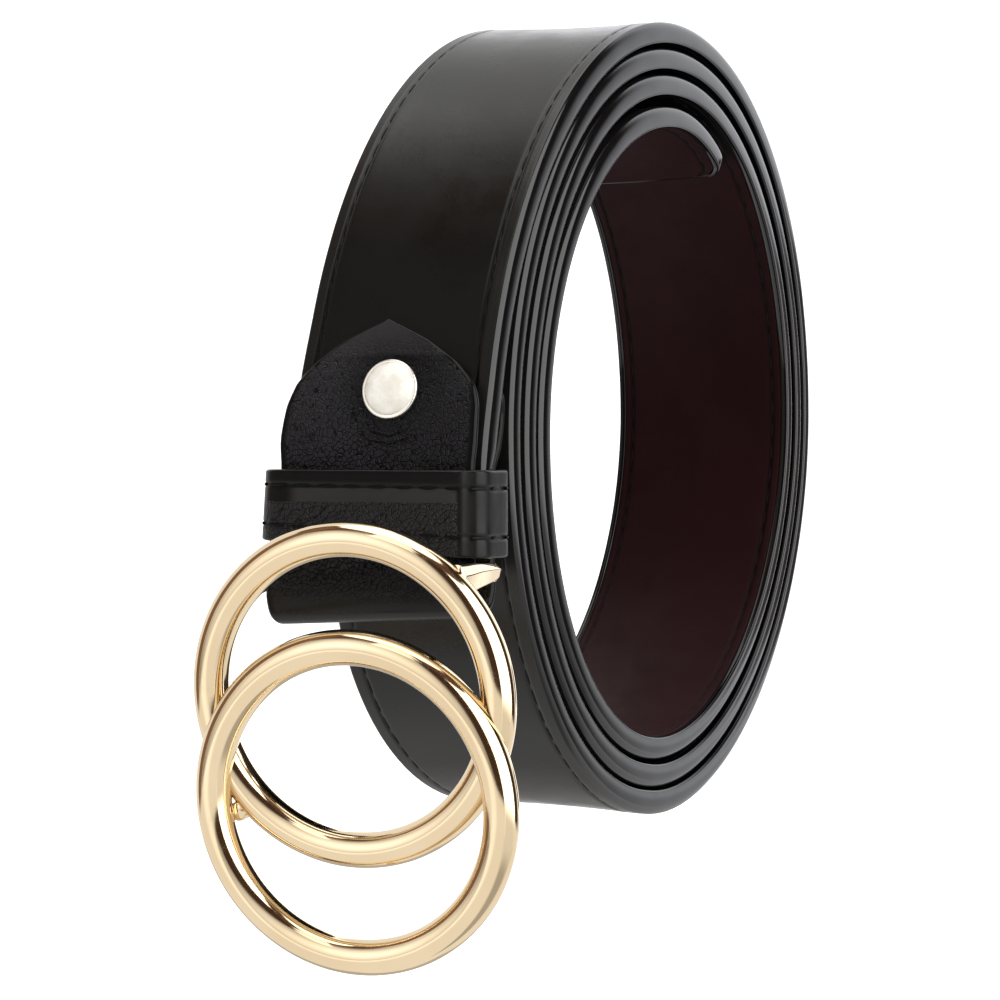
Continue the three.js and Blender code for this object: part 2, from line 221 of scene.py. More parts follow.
def bakedMesh(piece, modifier):
    # the mesh that the modifier makes; the modifier is taken off again
    evaluated = piece.evaluated_get(bpy.context.evaluated_depsgraph_get())
    mesh = bpy.data.meshes.new_from_object(evaluated)
    piece.modifiers.remove(modifier)
    return mesh


def finishPiece(mesh, name, material, body, nodes=(), holes=False):
    piece = newObject(name, mesh)
    if material is not None and not mesh.materials:
        mesh.materials.append(material)
    if holes:
        mesh = punchHoles(piece)
    mesh.shade_smooth()
    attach(piece, body)
    if nodes:
        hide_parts(*nodes)
    return piece


def faceOut(mesh):
    # turns the faces of a closed mesh outwards, by the sign of its volume
    mesh.calc_loop_triangles()
    points = np.array([v.co for v in mesh.vertices])
    triangles = np.array([t.vertices for t in mesh.loop_triangles])
    a, b, c = points[triangles[:, 0]], points[triangles[:, 1]], points[triangles[:, 2]]
    if np.einsum("ij,ij->i", a, np.cross(b, c)).sum() < 0:
        mesh.flip_normals()
    return mesh


def sweptMesh(name, rows, acrossUv, alongUv, marks=None, closeAlong=False):
    # rows[i][k]: point k of a closed section, at station i along the path
    rows = np.asarray(rows)
    count, ring = rows.shape[:2]
    faces, uvs = [], []
    for i in range(count if closeAlong else count - 1):
        j = (i + 1) % count
        for k in range(ring):
            m = (k + 1) % ring
            faces.append((i * ring + k, i * ring + m, j * ring + m, j * ring + k))
            u0, u1, v0, v1 = *acrossUv[k : k + 2], *alongUv[i : i + 2]
            uvs += [(u0, v0), (u1, v0), (u1, v1), (u0, v1)]
    if not closeAlong:
        last = (count - 1) * ring
        faces += [tuple(reversed(range(ring))), tuple(last + k for k in range(ring))]
        uvs += [(acrossUv[k], alongUv[0]) for k in reversed(range(ring))]
        uvs += [(acrossUv[k], alongUv[-1]) for k in range(ring)]
    mesh = bpy.data.meshes.new(name)
    mesh.from_pydata(rows.reshape(-1, 3).tolist(), [], faces)
    layer = mesh.uv_layers.new(name="surface")
    layer.data.foreach_set("uv", np.array(uvs, float).ravel())
    if marks is not None:
        mark = mesh.attributes.new("edge", "FLOAT", "POINT")
        mark.data.foreach_set("value", np.asarray(marks, float).ravel())
    mesh.update()
    return faceOut(mesh)


def paintEdges(mesh, main, marks):
    # faces whose corners all lie on a painted edge take the edge paint
    mesh.materials.append(main)
    mesh.materials.append(edgeGloss)
    for polygon in mesh.polygons:
        if min(marks[i] for i in polygon.vertices) > 0.5:
            polygon.material_index = 1


def circlePoints(radius, height, count):
    turns = [2 * math.pi * i / count for i in range(count)]
    return [(radius * math.cos(a), radius * math.sin(a), height) for a in turns]


def turnedMesh(name, profile, count, place):
    # closed body of revolution about +Z: the profile of (radius, height) starts and ends on the axis
    points, faces = [], []
    inner = profile[1:-1]
    for radius, height in inner:
        points += circlePoints(radius, height, count)
    for k in range(len(inner) - 1):
        for i in range(count):
            j = (i + 1) % count
            faces.append((k * count + i, k * count + j, (k + 1) * count + j, (k + 1) * count + i))
    first, last = len(points), len(points) + 1
    points += [(0, 0, profile[0][1]), (0, 0, profile[-1][1])]
    top = (len(inner) - 1) * count
    for i in range(count):
        j = (i + 1) % count
        faces += [(first, j, i), (last, top + i, top + j)]
    mesh = bpy.data.meshes.new(name)
    mesh.from_pydata([tuple(place @ Vector(p)) for p in points], [], faces)
    mesh.update()
    return faceOut(mesh)


def joinMeshes(name, meshes):
    points, faces = [], []
    for mesh in meshes:
        offset = len(points)
        points += [tuple(v.co) for v in mesh.vertices]
        faces += [tuple(offset + i for i in p.vertices) for p in mesh.polygons]
        bpy.data.meshes.remove(mesh)
    joined = bpy.data.meshes.new(name)
    joined.from_pydata(points, [], faces)
    joined.update()
    return joined


# Material helpers


def newMaterial(name, **sockets):
    material = bpy.data.materials.new(name)
    material.use_nodes = True
    shader = material.node_tree.nodes["Principled BSDF"]
    for label, value in sockets.items():
        shader.inputs[label.replace("_", " ")].default_value = value
    return material, material.node_tree, shader


def addNode(tree, kind, inputs=None, **settings):
    node = tree.nodes.new(kind)
    for key, value in settings.items():
        setattr(node, key, value)
    for key, value in (inputs or {}).items():
        if isinstance(value, bpy.types.NodeSocket):
            tree.links.new(value, node.inputs[key])
        else:
            node.inputs[key].default_value = value
    return node


def mathNode(tree, operation, a, b=0.0):
    return addNode(tree, "ShaderNodeMath", {0: a, 1: b}, operation=operation).outputs[0]


def times(tree, a, b):
    return mathNode(tree, "MULTIPLY", a, b)


def plus(tree, a, b):
    return mathNode(tree, "ADD", a, b)


def minus(tree, a, b):
    return mathNode(tree, "SUBTRACT", a, b)


def between(tree, value, low, high, toLow=0.0, toHigh=1.0):
    ends = {"From Min": low, "From Max": high, "To Min": toLow, "To Max": toHigh}
    node = addNode(tree, "ShaderNodeMapRange", {"Value": value, **ends}, interpolation_type="SMOOTHSTEP")
    return node.outputs["Result"]


def within(tree, value, rise, fall):  # fades in over rise and out over fall
    return times(tree, between(tree, value, *rise), between(tree, value, *fall, 1.0, 0.0))


def blendColours(tree, factor, a, b):
    a, b = ((*colour, 1) if isinstance(colour, tuple) else colour for colour in (a, b))
    return addNode(tree, "ShaderNodeMix", {0: factor, 6: a, 7: b}, data_type="RGBA").outputs[2]


def noise(tree, coords, scale, detail=3.0, rough=0.55, output=0):
    inputs = {"Vector": coords, "Scale": scale, "Detail": detail, "Roughness": rough}
    return addNode(tree, "ShaderNodeTexNoise", inputs).outputs[output]


def cloud(tree, coords, scale, toLow=0.0, toHigh=1.0, span=(0.3, 0.7), detail=3.0):
    return between(tree, noise(tree, coords, scale, detail), *span, toLow, toHigh)


def cells(tree, coords, scale, randomness=1.0):  # distance from the edges between cells
    inputs = {"Vector": coords, "Scale": scale, "Randomness": randomness}
    return addNode(tree, "ShaderNodeTexVoronoi", inputs, feature="DISTANCE_TO_EDGE").outputs["Distance"]


def bump(tree, height, distance, strength=1.0, normal=None):
    inputs = {"Height": height, "Distance": distance, "Strength": strength}
    if normal is not None:
        inputs["Normal"] = normal
    return addNode(tree, "ShaderNodeBump", inputs).outputs["Normal"]


def objectCoords(tree):
    return addNode(tree, "ShaderNodeTexCoord").outputs["Object"]


def separate(tree, vector):
    return addNode(tree, "ShaderNodeSeparateXYZ", {0: vector}).outputs


def surfaceUv(tree):
    parts = separate(tree, addNode(tree, "ShaderNodeUVMap", uv_map="surface").outputs["UV"])
    return parts["X"], parts["Y"]


def connect(tree, shader, colour, roughness, normal=None):
    for label, value in (("Base Color", colour), ("Roughness", roughness), ("Normal", normal)):
        if value is not None:
            tree.links.new(value, shader.inputs[label])


# Leather of the strap: satin face, glossy painted edge and matte lining

satinLook = {
    "dark": (0.0030, 0.0024, 0.0021),
    "light": (0.0052, 0.0042, 0.0036),
    "rim": (0.0105, 0.0098, 0.0092),  # outside the sewn line
    "groove": (0.0008, 0.0008, 0.0008),
    "shine": 0.36,
    "roughness": (0.25, 0.33),
    "brushing": (260.0, 2600.0),  # fineness across and along
}
edgeLook = {
    "dark": (0.0022, 0.0022, 0.0024),
    "light": (0.0048, 0.0048, 0.0052),
    "shine": 0.5,
    "roughness": (0.09, 0.12),
}
liningLook = {
    "dark": (0.0172, 0.0045, 0.0056),
    "light": (0.0245, 0.0077, 0.0092),
    "groove": (0.0065, 0.0022, 0.0025),
    "low": (0.033, 0.0115, 0.0130),  # painted light: lighter lining, mixed in towards the bottom of the roll
    "paintedLightStarts": (-50.0, -88.0),  # mm from the peg
    "paintedLightShare": 0.5,
    "paintedGapShade": (0.0014, 0.0010, 0.0010),  # painted shade, near black, on the lining in the gaps between turns that lie on each other
    "paintedGapShadeStarts": (2.0, -4.0),  # mm along the strap, from where the turn round the eye begins
    "shine": 0.07,
    "roughness": (0.5, 0.62),
}


def strapMargins(tree, across):
    # distance from the nearer edge of the strap, and from the sewn line beside it
    fromEdge = minus(tree, halfWidth * mm, mathNode(tree, "ABSOLUTE", across))
    return fromEdge, mathNode(tree, "ABSOLUTE", minus(tree, fromEdge, stitchInset * mm))


def satinLeather():
    look = satinLook
    material, tree, shader = newMaterial("satinLeather", IOR=1.5, Specular_IOR_Level=look["shine"])
    where = objectCoords(tree)
    across, along = surfaceUv(tree)
    fromEdge, fromLine = strapMargins(tree, across)
    clouds = cloud(tree, where, 38.0, span=(0.35, 0.68), detail=4.0)
    base = blendColours(tree, clouds, look["dark"], look["light"])
    rim = between(tree, fromEdge, (stitchInset + 0.2) * mm, (stitchInset - 0.3) * mm)
    base = blendColours(tree, rim, base, look["rim"])
    base = blendColours(tree, between(tree, fromLine, 0.45 * mm, 0.1 * mm), base, look["groove"])
    brushed = {i: times(tree, (across, along)[i], look["brushing"][i]) for i in (0, 1)}
    streaks = noise(tree, addNode(tree, "ShaderNodeCombineXYZ", brushed).outputs[0], 1.0, 2.0)
    pores = cells(tree, where, 2600.0)
    height = plus(tree, times(tree, pores, 0.35), times(tree, noise(tree, where, 1700.0, 2.0), 0.4))
    height = plus(tree, height, times(tree, streaks, 0.3))
    normal = bump(tree, noise(tree, where, 190.0), 0.09 * mm, 0.35)
    normal = bump(tree, height, 0.03 * mm, 0.5, normal)
    connect(tree, shader, base, cloud(tree, where, 120.0, *look["roughness"]), normal)
    return material


def glossyEdge():
    look = edgeLook
    material, tree, shader = newMaterial("glossyEdge", IOR=1.5, Specular_IOR_Level=look["shine"])
    where = objectCoords(tree)
    mottle = noise(tree, where, 500.0)
    base = blendColours(tree, mottle, look["dark"], look["light"])
    flecks = between(tree, noise(tree, where, 1500.0, 3.0, 0.65), 0.4, 0.66)
    normal = bump(tree, flecks, 0.02 * mm, 0.03)
    connect(tree, shader, base, between(tree, mottle, 0.3, 0.8, *look["roughness"]), normal)
    return material


def liningLeather():
    look = liningLook
    material, tree, shader = newMaterial("liningLeather", Specular_IOR_Level=look["shine"])
    where = objectCoords(tree)
    across, along = surfaceUv(tree)
    fromLine = strapMargins(tree, across)[1]
    base = blendColours(tree, cloud(tree, where, 45.0, detail=4.0), look["dark"], look["light"])
    base = blendColours(tree, between(tree, fromLine, 0.6 * mm, 0.1 * mm), base, look["groove"])
    # painted light: the lining is mixed towards a lighter colour towards the bottom of the roll
    paintedLightAt = [height * mm for height in look["paintedLightStarts"]]
    low = between(tree, separate(tree, where)["Z"], *paintedLightAt, 0.0, look["paintedLightShare"])
    base = blendColours(tree, low, base, look["low"])
    # painted shade: the lining of the turns before the one round the eye, which lie in the gaps between
    # turns, is darkened
    eyeFrom = float(np.interp(rollShape["lastTurn"] - 1, stations["turn"], stations["length"]))
    inPaintedGapShade = between(tree, along, *((eyeFrom + past) * mm for past in look["paintedGapShadeStarts"]))
    base = blendColours(tree, inPaintedGapShade, base, look["paintedGapShade"])
    pores = cells(tree, where, 1500.0)
    height = plus(tree, times(tree, pores, 0.5), times(tree, noise(tree, where, 2400.0, 2.0), 0.5))
    normal = bump(tree, noise(tree, where, 210.0), 0.08 * mm, 0.4)
    normal = bump(tree, height, 0.05 * mm, 0.6, normal)
    connect(tree, shader, base, cloud(tree, where, 160.0, *look["roughness"]), normal)
    return material


# Pebbled leather of the tab and the keeper

grainLook = {
    "cell": 0.7,  # mm, as the next two
    "depth": 0.12,
    "warp": 1.1,
    "pit": (0.0002, 0.0002, 0.0002),
    "pebble": (0.0290, 0.0275, 0.0322),
    # near black, mixed in on the tab as painted shade
    "dark": (0.0008, 0.0008, 0.0008),
    "edgePaint": (0.0050, 0.0050, 0.0052),
    "edgeRoughness": 0.14,
}


def grainedLeather(name, shine):
    # the material so far, with the height of its grain from 0 in the pits to 1, and its colour
    material, tree, shader = newMaterial(name, Specular_IOR_Level=shine)
    where = objectCoords(tree)
    warp = {0: noise(tree, where, 300.0, 2.0, output=1), 1: (grainLook["warp"] * mm,) * 3, 2: where}
    warped = addNode(tree, "ShaderNodeVectorMath", warp, operation="MULTIPLY_ADD").outputs[0]
    fineness = 1 / (grainLook["cell"] * mm)
    pebble = between(tree, cells(tree, warped, fineness, 0.9), 0.0, 0.14)
    fine = between(tree, cells(tree, warped, 2.1 * fineness), 0.0, 0.3)
    coarse = cloud(tree, where, 140.0, 0.7, 1.0, detail=2.0)
    grain = addNode(tree, "ShaderNodeMix", {0: coarse, 2: fine, 3: pebble}).outputs[0]
    base = blendColours(tree, grain, grainLook["pit"], grainLook["pebble"])
    return material, tree, shader, where, grain, base


def flatten(tree, grain, flat):
    return times(tree, grain, minus(tree, 1.0, flat))


def finishGrain(tree, shader, where, grain, base, roughness):
    # painted edges, and a slow unevenness under the grain
    edge = addNode(tree, "ShaderNodeAttribute", attribute_name="edge").outputs["Fac"]
    base = blendColours(tree, edge, base, grainLook["edgePaint"])
    gloss = cloud(tree, where, 240.0, roughness - 0.05, roughness + 0.05)
    gloss = addNode(tree, "ShaderNodeMix", {0: edge, 2: gloss, 3: grainLook["edgeRoughness"]}).outputs[0]
    normal = bump(tree, noise(tree, where, 260.0), 0.12 * mm, 0.5)
    normal = bump(tree, flatten(tree, grain, edge), grainLook["depth"] * mm, 1.0, normal)
    connect(tree, shader, base, gloss, normal)


# Metal, enamel and thread

goldLook = {"dark": (0.79, 0.63, 0.41), "light": (0.84, 0.68, 0.46), "roughness": (0.08, 0.16)}
pearlLook = {"dark": (0.79, 0.75, 0.66), "light": (0.97, 0.945, 0.875), "roughness": (0.25, 0.4)}
steelLook = {"dark": (0.42, 0.40, 0.37), "light": (0.55, 0.53, 0.50)}
rimLook = {"dark": (0.80, 0.76, 0.68), "light": (0.90, 0.86, 0.78)}
blackLook = {"dark": (0.0007, 0.0007, 0.0007), "light": (0.002, 0.0018, 0.0018)}
brownLook = {"dark": (0.0105, 0.0036, 0.004), "light": (0.0155, 0.006, 0.0065)}


def paleGold():
    look = goldLook
    material, tree, shader = newMaterial("paleGold", Metallic=1.0, IOR=1.45)
    where = objectCoords(tree)
    base = blendColours(tree, cloud(tree, where, 60.0), look["dark"], look["light"])
    scuffs = between(tree, noise(tree, where, 800.0, 4.0, 0.6), 0.45, 0.8, *look["roughness"])
    connect(tree, shader, base, scuffs, bump(tree, noise(tree, where, 150.0, 2.0), 0.08 * mm, 0.22))
    return material


def pearlEnamel():
    look = pearlLook
    material, tree, shader = newMaterial("pearlEnamel", Coat_Weight=0.6, Coat_Roughness=0.12)
    where = objectCoords(tree)
    swirl = noise(tree, where, 420.0, 4.0, 0.6)
    base = blendColours(tree, between(tree, swirl, 0.35, 0.7), look["dark"], look["light"])
    normal = bump(tree, swirl, 0.02 * mm, 0.3)
    connect(tree, shader, base, cloud(tree, where, 1300.0, *look["roughness"]), normal)
    return material


def thread(name, look, shine):
    material, tree, shader = newMaterial(name, Specular_IOR_Level=shine)
    strands = noise(tree, objectCoords(tree), 3000.0, 2.0)
    base = blendColours(tree, between(tree, strands, 0.3, 0.7), look["dark"], look["light"])
    normal = bump(tree, strands, 0.04 * mm, 0.7)
    connect(tree, shader, base, between(tree, strands, 0.3, 0.7, 0.45, 0.7), normal)
    return material


def steel(name, look):
    material, tree, shader = newMaterial(name, Metallic=1.0)
    marks = noise(tree, objectCoords(tree), 700.0)
    base = blendColours(tree, marks, look["dark"], look["light"])
    connect(tree, shader, base, between(tree, marks, 0.3, 0.7, 0.22, 0.4))
    return material


edgeGloss = glossyEdge()
rimMetal = steel("rimMetal", rimLook)
satin = satinLeather()
lining = liningLeather()
gold = paleGold()
blackThread = thread("blackThread", blackLook, 0.2)
brownThread = thread("brownThread", brownLook, 0.15)
print("materials made")

# Geometry Nodes: a shape put on every point, made real and given its material


def newTree(name, geometry, sockets, result):
    tree = bpy.data.node_groups.new(name, "GeometryNodeTree")
    for label, kind in [(geometry, "Geometry")] + sockets:
        tree.interface.new_socket(label, in_out="INPUT", socket_type="NodeSocket" + kind)
    tree.interface.new_socket(result, in_out="OUTPUT", socket_type="NodeSocketGeometry")
    return tree, addNode(tree, "NodeGroupInput").outputs


def placeShapes(tree, material, inputs):
    placed = addNode(tree, "GeometryNodeInstanceOnPoints", inputs)
    real = addNode(tree, "GeometryNodeRealizeInstances", {"Geometry": placed.outputs[0]})
    done = addNode(tree, "GeometryNodeSetMaterial", {"Geometry": real.outputs[0], "Material": material})
    tree.links.new(done.outputs[0], addNode(tree, "NodeGroupOutput").inputs[0])
    return tree


def bakeTree(name, guide, tree, values):
    modifier = guide.modifiers.new("work", "NODES")
    modifier.node_group = tree
    for item in tree.interface.items_tree:
        if item.in_out == "INPUT" and item.name in values:
            modifier[item.identifier] = values[item.name]
    mesh = bakedMesh(guide, modifier)
    mesh.name = name
    removeObject(guide)
    return mesh


# Stitches follow guide lines that lie on a surface.

stitchShape = {
    "pitch": 3.5,
    "length": 3.0,
    "radius": 0.2,
    "seed": 7,
    "smallest": (0.92, 0.9, 0.8),  # each stitch is between these two in size
    "largest": (1.05, 1.1, 1.15),
}
stitchSockets = [
    ("Pitch", "Float"),
    ("Stitch Length", "Float"),
    ("Thread Radius", "Float"),
    ("Seed", "Int"),
    ("Thread", "Material"),
]


def stitchTree():
    tree, take = newTree("stitchRun", "Guides", stitchSockets, "Stitches")
    curve = addNode(tree, "GeometryNodeMeshToCurve", {"Mesh": take["Guides"]}).outputs[0]
    spaced = {"Curve": curve, "Length": take["Pitch"]}
    even = addNode(tree, "GeometryNodeResampleCurve", spaced, mode="LENGTH")
    ball = addNode(tree, "GeometryNodeMeshUVSphere", {"Segments": 8, "Rings": 6, "Radius": 0.5})
    wide, deep = (times(tree, take["Thread Radius"], share) for share in (2.0, 1.6))
    size = addNode(tree, "ShaderNodeCombineXYZ", {"X": take["Stitch Length"], "Y": wide, "Z": deep})
    bead = {"Geometry": ball.outputs["Mesh"], "Scale": size.outputs[0]}
    bead = addNode(tree, "GeometryNodeTransform", bead)
    out = addNode(tree, "GeometryNodeInputNamedAttribute", {"Name": "out"}, data_type="FLOAT_VECTOR")
    tangent = addNode(tree, "GeometryNodeInputTangent")
    axes = {"Primary Axis": out.outputs[0], "Secondary Axis": tangent.outputs[0]}
    turn = addNode(tree, "FunctionNodeAxesToRotation", axes, primary_axis="Z", secondary_axis="X")
    limits = {0: stitchShape["smallest"], 1: stitchShape["largest"], "Seed": take["Seed"]}
    vary = addNode(tree, "FunctionNodeRandomValue", limits, data_type="FLOAT_VECTOR")
    inputs = {"Points": even, "Instance": bead, "Rotation": turn, "Scale": vary}
    inputs = {label: node.outputs[0] for label, node in inputs.items()}
    return placeShapes(tree, take["Thread"], inputs)


stitchNodes = stitchTree()


def stitches(name, lines, threadMaterial, **changes):
    # lines: list of (points, outward directions), both in metres
    shape = {**stitchShape, **changes}
    points, edges, outs = [], [], []
    for line, outward in lines:
        offset = len(points)
        points += [tuple(p) for p in line]
        outs += [tuple(o) for o in outward]
        edges += [(offset + i, offset + i + 1) for i in range(len(line) - 1)]
    mesh = bpy.data.meshes.new(name + "Guide")
    mesh.from_pydata(points, edges, [])
    mark = mesh.attributes.new("out", "FLOAT_VECTOR", "POINT")
    mark.data.foreach_set("vector", np.array(outs, float).ravel())
    sizes = {"Pitch": "pitch", "Stitch Length": "length", "Thread Radius": "radius"}
    values = {label: shape[key] * mm for label, key in sizes.items()}
    values.update({"Seed": shape["seed"], "Thread": threadMaterial})
    return bakeTree(name, newObject(name + "Guide", mesh), stitchNodes, values)


def lineOnStrap(x, depth, outwardSign, start, end, step=1.4):
    at = np.linspace(start, end, int((end - start) / step) + 2)
    here, deeper = (strapPoint(at, np.full(len(at), x), np.full(len(at), d)) for d in (depth, depth + 1.0))
    outward = (here - deeper) * outwardSign
    outward /= np.linalg.norm(outward, axis=1)[:, None]
    return toRow(here), outward


# Strap: face with its painted edges, and the lining that lies in it

strapLook = {
    "ply": 1.5,  # depth of the face's own back
    "grooveDepth": 0.24,
    "grooveWidth": 0.27,
    "shoulder": 0.1,
    "shoulderStarts": (2.2, 0.7),  # from the edge
    "lip": 0.95,  # width of painted edge that shows beside the lining
    "lipSlope": 0.06,
    "endRadius": 3.4,
    "endLean": 0.05,
    "endLeanStarts": (9.0, 0.0),  # from the inner end
    "taper": 0.62,  # the outer end is pared thin
    "taperStarts": (8.0, 13.0),
    "liningFrom": 10.0,
    "liningShort": 0.8,  # how far the lining ends before the face
    "wobble": 0.012,
    "holes": 5,
    "firstHole": 50.0,
    "holePitch": 20.0,
    "holeRadius": 2.0,
}


def faceDrop(fromEdge):  # depth of the outer face at a distance from the strap's edge
    k = strapLook
    fromEdge = np.asarray(fromEdge, float)
    groove = k["grooveDepth"] * np.exp(-(((fromEdge - stitchInset) / k["grooveWidth"]) ** 2))
    return groove + k["shoulder"] * smoothstep(*k["shoulderStarts"], fromEdge)


# Crowned edge, as how far its surface has turned from the outer face, and the length walked there
edgeTurns = [
    (0, 0.0), (40, 0.07), (56, 0.42), (72, 0.86), (82, 1.25), (86, 1.8), (89, 2.5), (92, 2.9), (96, 3.02),
    (110, 3.08), (130, 3.14), (160, 3.22), (175, 3.3),
]


def edgeCurve(parts=26):
    turns, lengths = zip(*edgeTurns)
    walked = np.linspace(0, lengths[-1], parts * 8 + 1)
    angle = np.radians(np.interp(walked, lengths, turns))
    middle = (angle[1:] + angle[:-1]) / 2
    out, down = (np.concatenate([[0], np.cumsum(way(middle) * walked[1])]) for way in (np.cos, np.sin))
    top = float(faceDrop(out.max()))
    down = top + down * (strapThickness - 0.03 - top) / down[-1]
    picked = np.unique(np.concatenate([[0, 4, 8], np.linspace(12, len(out) - 1, parts).astype(int)]))
    return [(float(out.max() - out[i]), float(down[i]), 1.0) for i in picked]


def wholeSection(half):
    # closed section in columns, from its half as (distance from the edge, ...), mid width first
    right = [(halfWidth - e, *rest) for e, *rest in half]
    left = [(-x, *rest) for x, *rest in reversed(right)]
    return [np.array(column) for column in zip(*(right[:-1] + left[:-1]))]


def endShrink(toEnd, radius):  # what the rounded corners take off the half width near the inner end
    short = max(0.0, radius - toEnd)
    return radius - math.sqrt(max(0.0, radius**2 - short**2))


def strapRow(s, x, depth, sway=0.0):
    # points across the strap at the length s, askew near its inner end
    askew = float(smoothstep(*strapLook["endLeanStarts"], strapLength - s))
    return strapPoint(s - strapLook["endLean"] * (x + halfWidth) * askew, x + sway, depth)


def closedMesh(name, rows, xs, at, marks=None):
    return sweptMesh(name, toRow(rows), np.append(xs, xs[0]) * mm, at * mm, marks)


def easedEnd(length, count):  # lengths to the end, closer together towards it
    return length * np.sin(np.linspace(0, math.pi / 2, count))[1:]


def punchHoles(piece):
    # round holes for the closing stud, cut square through the strap near its inner end
    k = strapLook
    past, sides = 1.5, 28
    r = k["holeRadius"] * mm
    rods = []
    for i in range(k["holes"]):
        at = strapLength - k["firstHole"] - i * k["holePitch"]
        outer, inner = (Vector(toRow(strapPoint(at, 0.0, d))) for d in (-past, strapThickness + past))
        through = inner - outer
        place = Matrix.Translation(outer) @ through.to_track_quat("Z", "Y").to_matrix().to_4x4()
        profile = [(0, 0), (r, 0), (r, through.length), (0, through.length)]
        rods.append(turnedMesh("rod", profile, sides, place))
    cutter = newObject("rods", joinMeshes("rods", rods))
    cut = piece.modifiers.new("holes", "BOOLEAN")
    cut.operation, cut.solver, cut.object = "DIFFERENCE", "EXACT", cutter
    old, name = piece.data, piece.data.name
    piece.data = bakedMesh(piece, cut)
    bpy.data.meshes.remove(old)
    piece.data.name = name
    removeObject(cutter)
    return piece.data


def buildStrapFace():
    k = strapLook
    ply, lip, half = k["ply"], k["lip"], strapThickness / 2
    spots = [14.0, 11.5, 9.0, 6.5, 4.6, 3.6, 3.15, 2.9, 2.7, 2.55, 2.4, 2.25, 2.1, 1.9, 1.65, 1.3, 1.1]
    section = [(e, float(faceDrop(e)), 0.0) for e in spots] + edgeCurve()
    section += [(lip, strapThickness - 0.05, 1), (lip + 0.03, strapThickness - 0.14, 1)]
    section += [(lip + 0.05, ply, 0), (halfWidth, ply, 0)]
    xs, ds, marks = wholeSection(section)
    atCorner = np.clip(np.abs(xs) - 12.5, 0, 1.5) / 1.5
    endPart, step = 3.0, 1.25
    at = np.linspace(0, strapLength - endPart, int(strapLength / step))
    at = np.append(at, strapLength - endPart + easedEnd(endPart, 24))
    rows, markRows = [], []
    for s in at:
        toEnd = strapLength - s
        x = xs * (halfWidth - endShrink(toEnd, k["endRadius"])) / halfWidth
        close = float(smoothstep(1.1, 0.8, toEnd))  # the lining's bed is closed at the inner end
        depth = np.where(ds == ply, ply + close * (strapThickness - ply - 0.04), ds)
        depth = half + (depth - half) * (1 - 0.5 * float(smoothstep(0.5, 0.0, toEnd)))
        depth = depth * (k["taper"] + (1 - k["taper"]) * float(smoothstep(*k["taperStarts"], s)))
        rows.append(strapRow(s, x, depth, k["wobble"] * ripple(s, 1.3) * np.sign(xs) * atCorner))
        markRows.append(marks * float(toEnd > 0.9))
    mesh = closedMesh("strapFace", rows, xs, at, markRows)
    paintEdges(mesh, satin, np.array(markRows).ravel())
    return finishPiece(mesh, "strapFace", satin, "belt", ["strap_face"], holes=True)


def buildStrapLining():
    k = strapLook
    edge, short = k["lip"] + k["lipSlope"], k["liningShort"]
    spots = [14.0, 11.5, 9.0, 6.5, 4.6, 3.4, 3.0, 2.75, 2.55, 2.4, 2.25, 2.05, 1.8, 1.3, edge + 0.25]
    section = [(e, strapThickness - 0.02 - 0.8 * float(faceDrop(e))) for e in spots]
    under = k["ply"] + 0.12
    section += [(edge + 0.06, strapThickness - 0.16), (edge, strapThickness - 0.4)]
    section += [(edge, under), (halfWidth, under)]
    xs, ds = wholeSection(section)
    endPart, step = 8.0, 1.6
    at = np.linspace(k["liningFrom"], strapLength - endPart, int(strapLength / step))
    at = np.append(at, strapLength - endPart + easedEnd(endPart - short, 22))
    bed = k["ply"] + 0.2
    rows = []
    for s in at:
        shrink = endShrink(strapLength - s - short, k["endRadius"] - short)
        grow = float(smoothstep(k["liningFrom"], 16.0, s))
        depth = np.where(ds > bed, bed + (ds - bed) * max(0.15, grow), ds)
        rows.append(strapRow(s, xs * (halfWidth - shrink) / halfWidth, depth))
    mesh = closedMesh("strapLining", rows, xs, at)
    return finishPiece(mesh, "strapLining", lining, "belt", ["strap_lining"], holes=True)


def buildStrapStitches():
    inset = halfWidth - stitchInset
    sink = strapLook["grooveDepth"] + 0.02
    start, end = 26.0, strapLength - 2.6
    outer = [lineOnStrap(x, sink, 1, start, end) for x in (inset, -inset)]
    mesh = stitches("strapStitches", outer, blackThread)
    finishPiece(mesh, "strapStitches", None, "belt")
    depth = strapThickness - strapLook["grooveDepth"]
    inner = [lineOnStrap(x, depth, -1, start, end) for x in (inset, -inset)]
    across = np.linspace(-inset + 1.5, inset - 1.5, 14)  # one row across the inner end
    here, deeper = (strapPoint(end, across, np.full(len(across), d)) for d in (depth, depth + 1.0))
    inner.append((toRow(here), deeper - here))
    mesh = stitches("liningStitches", inner, brownThread, radius=0.14)
    finishPiece(mesh, "liningStitches", None, "belt")


buildStrapFace()
buildStrapLining()
buildStrapStitches()
print("strap made")

# Tab folded round the bar, as rows of (y, z) in the middle of the leather, its thickness, and its
# width as a share, from the tip of the back leaf down, round the fold and up to the arched front

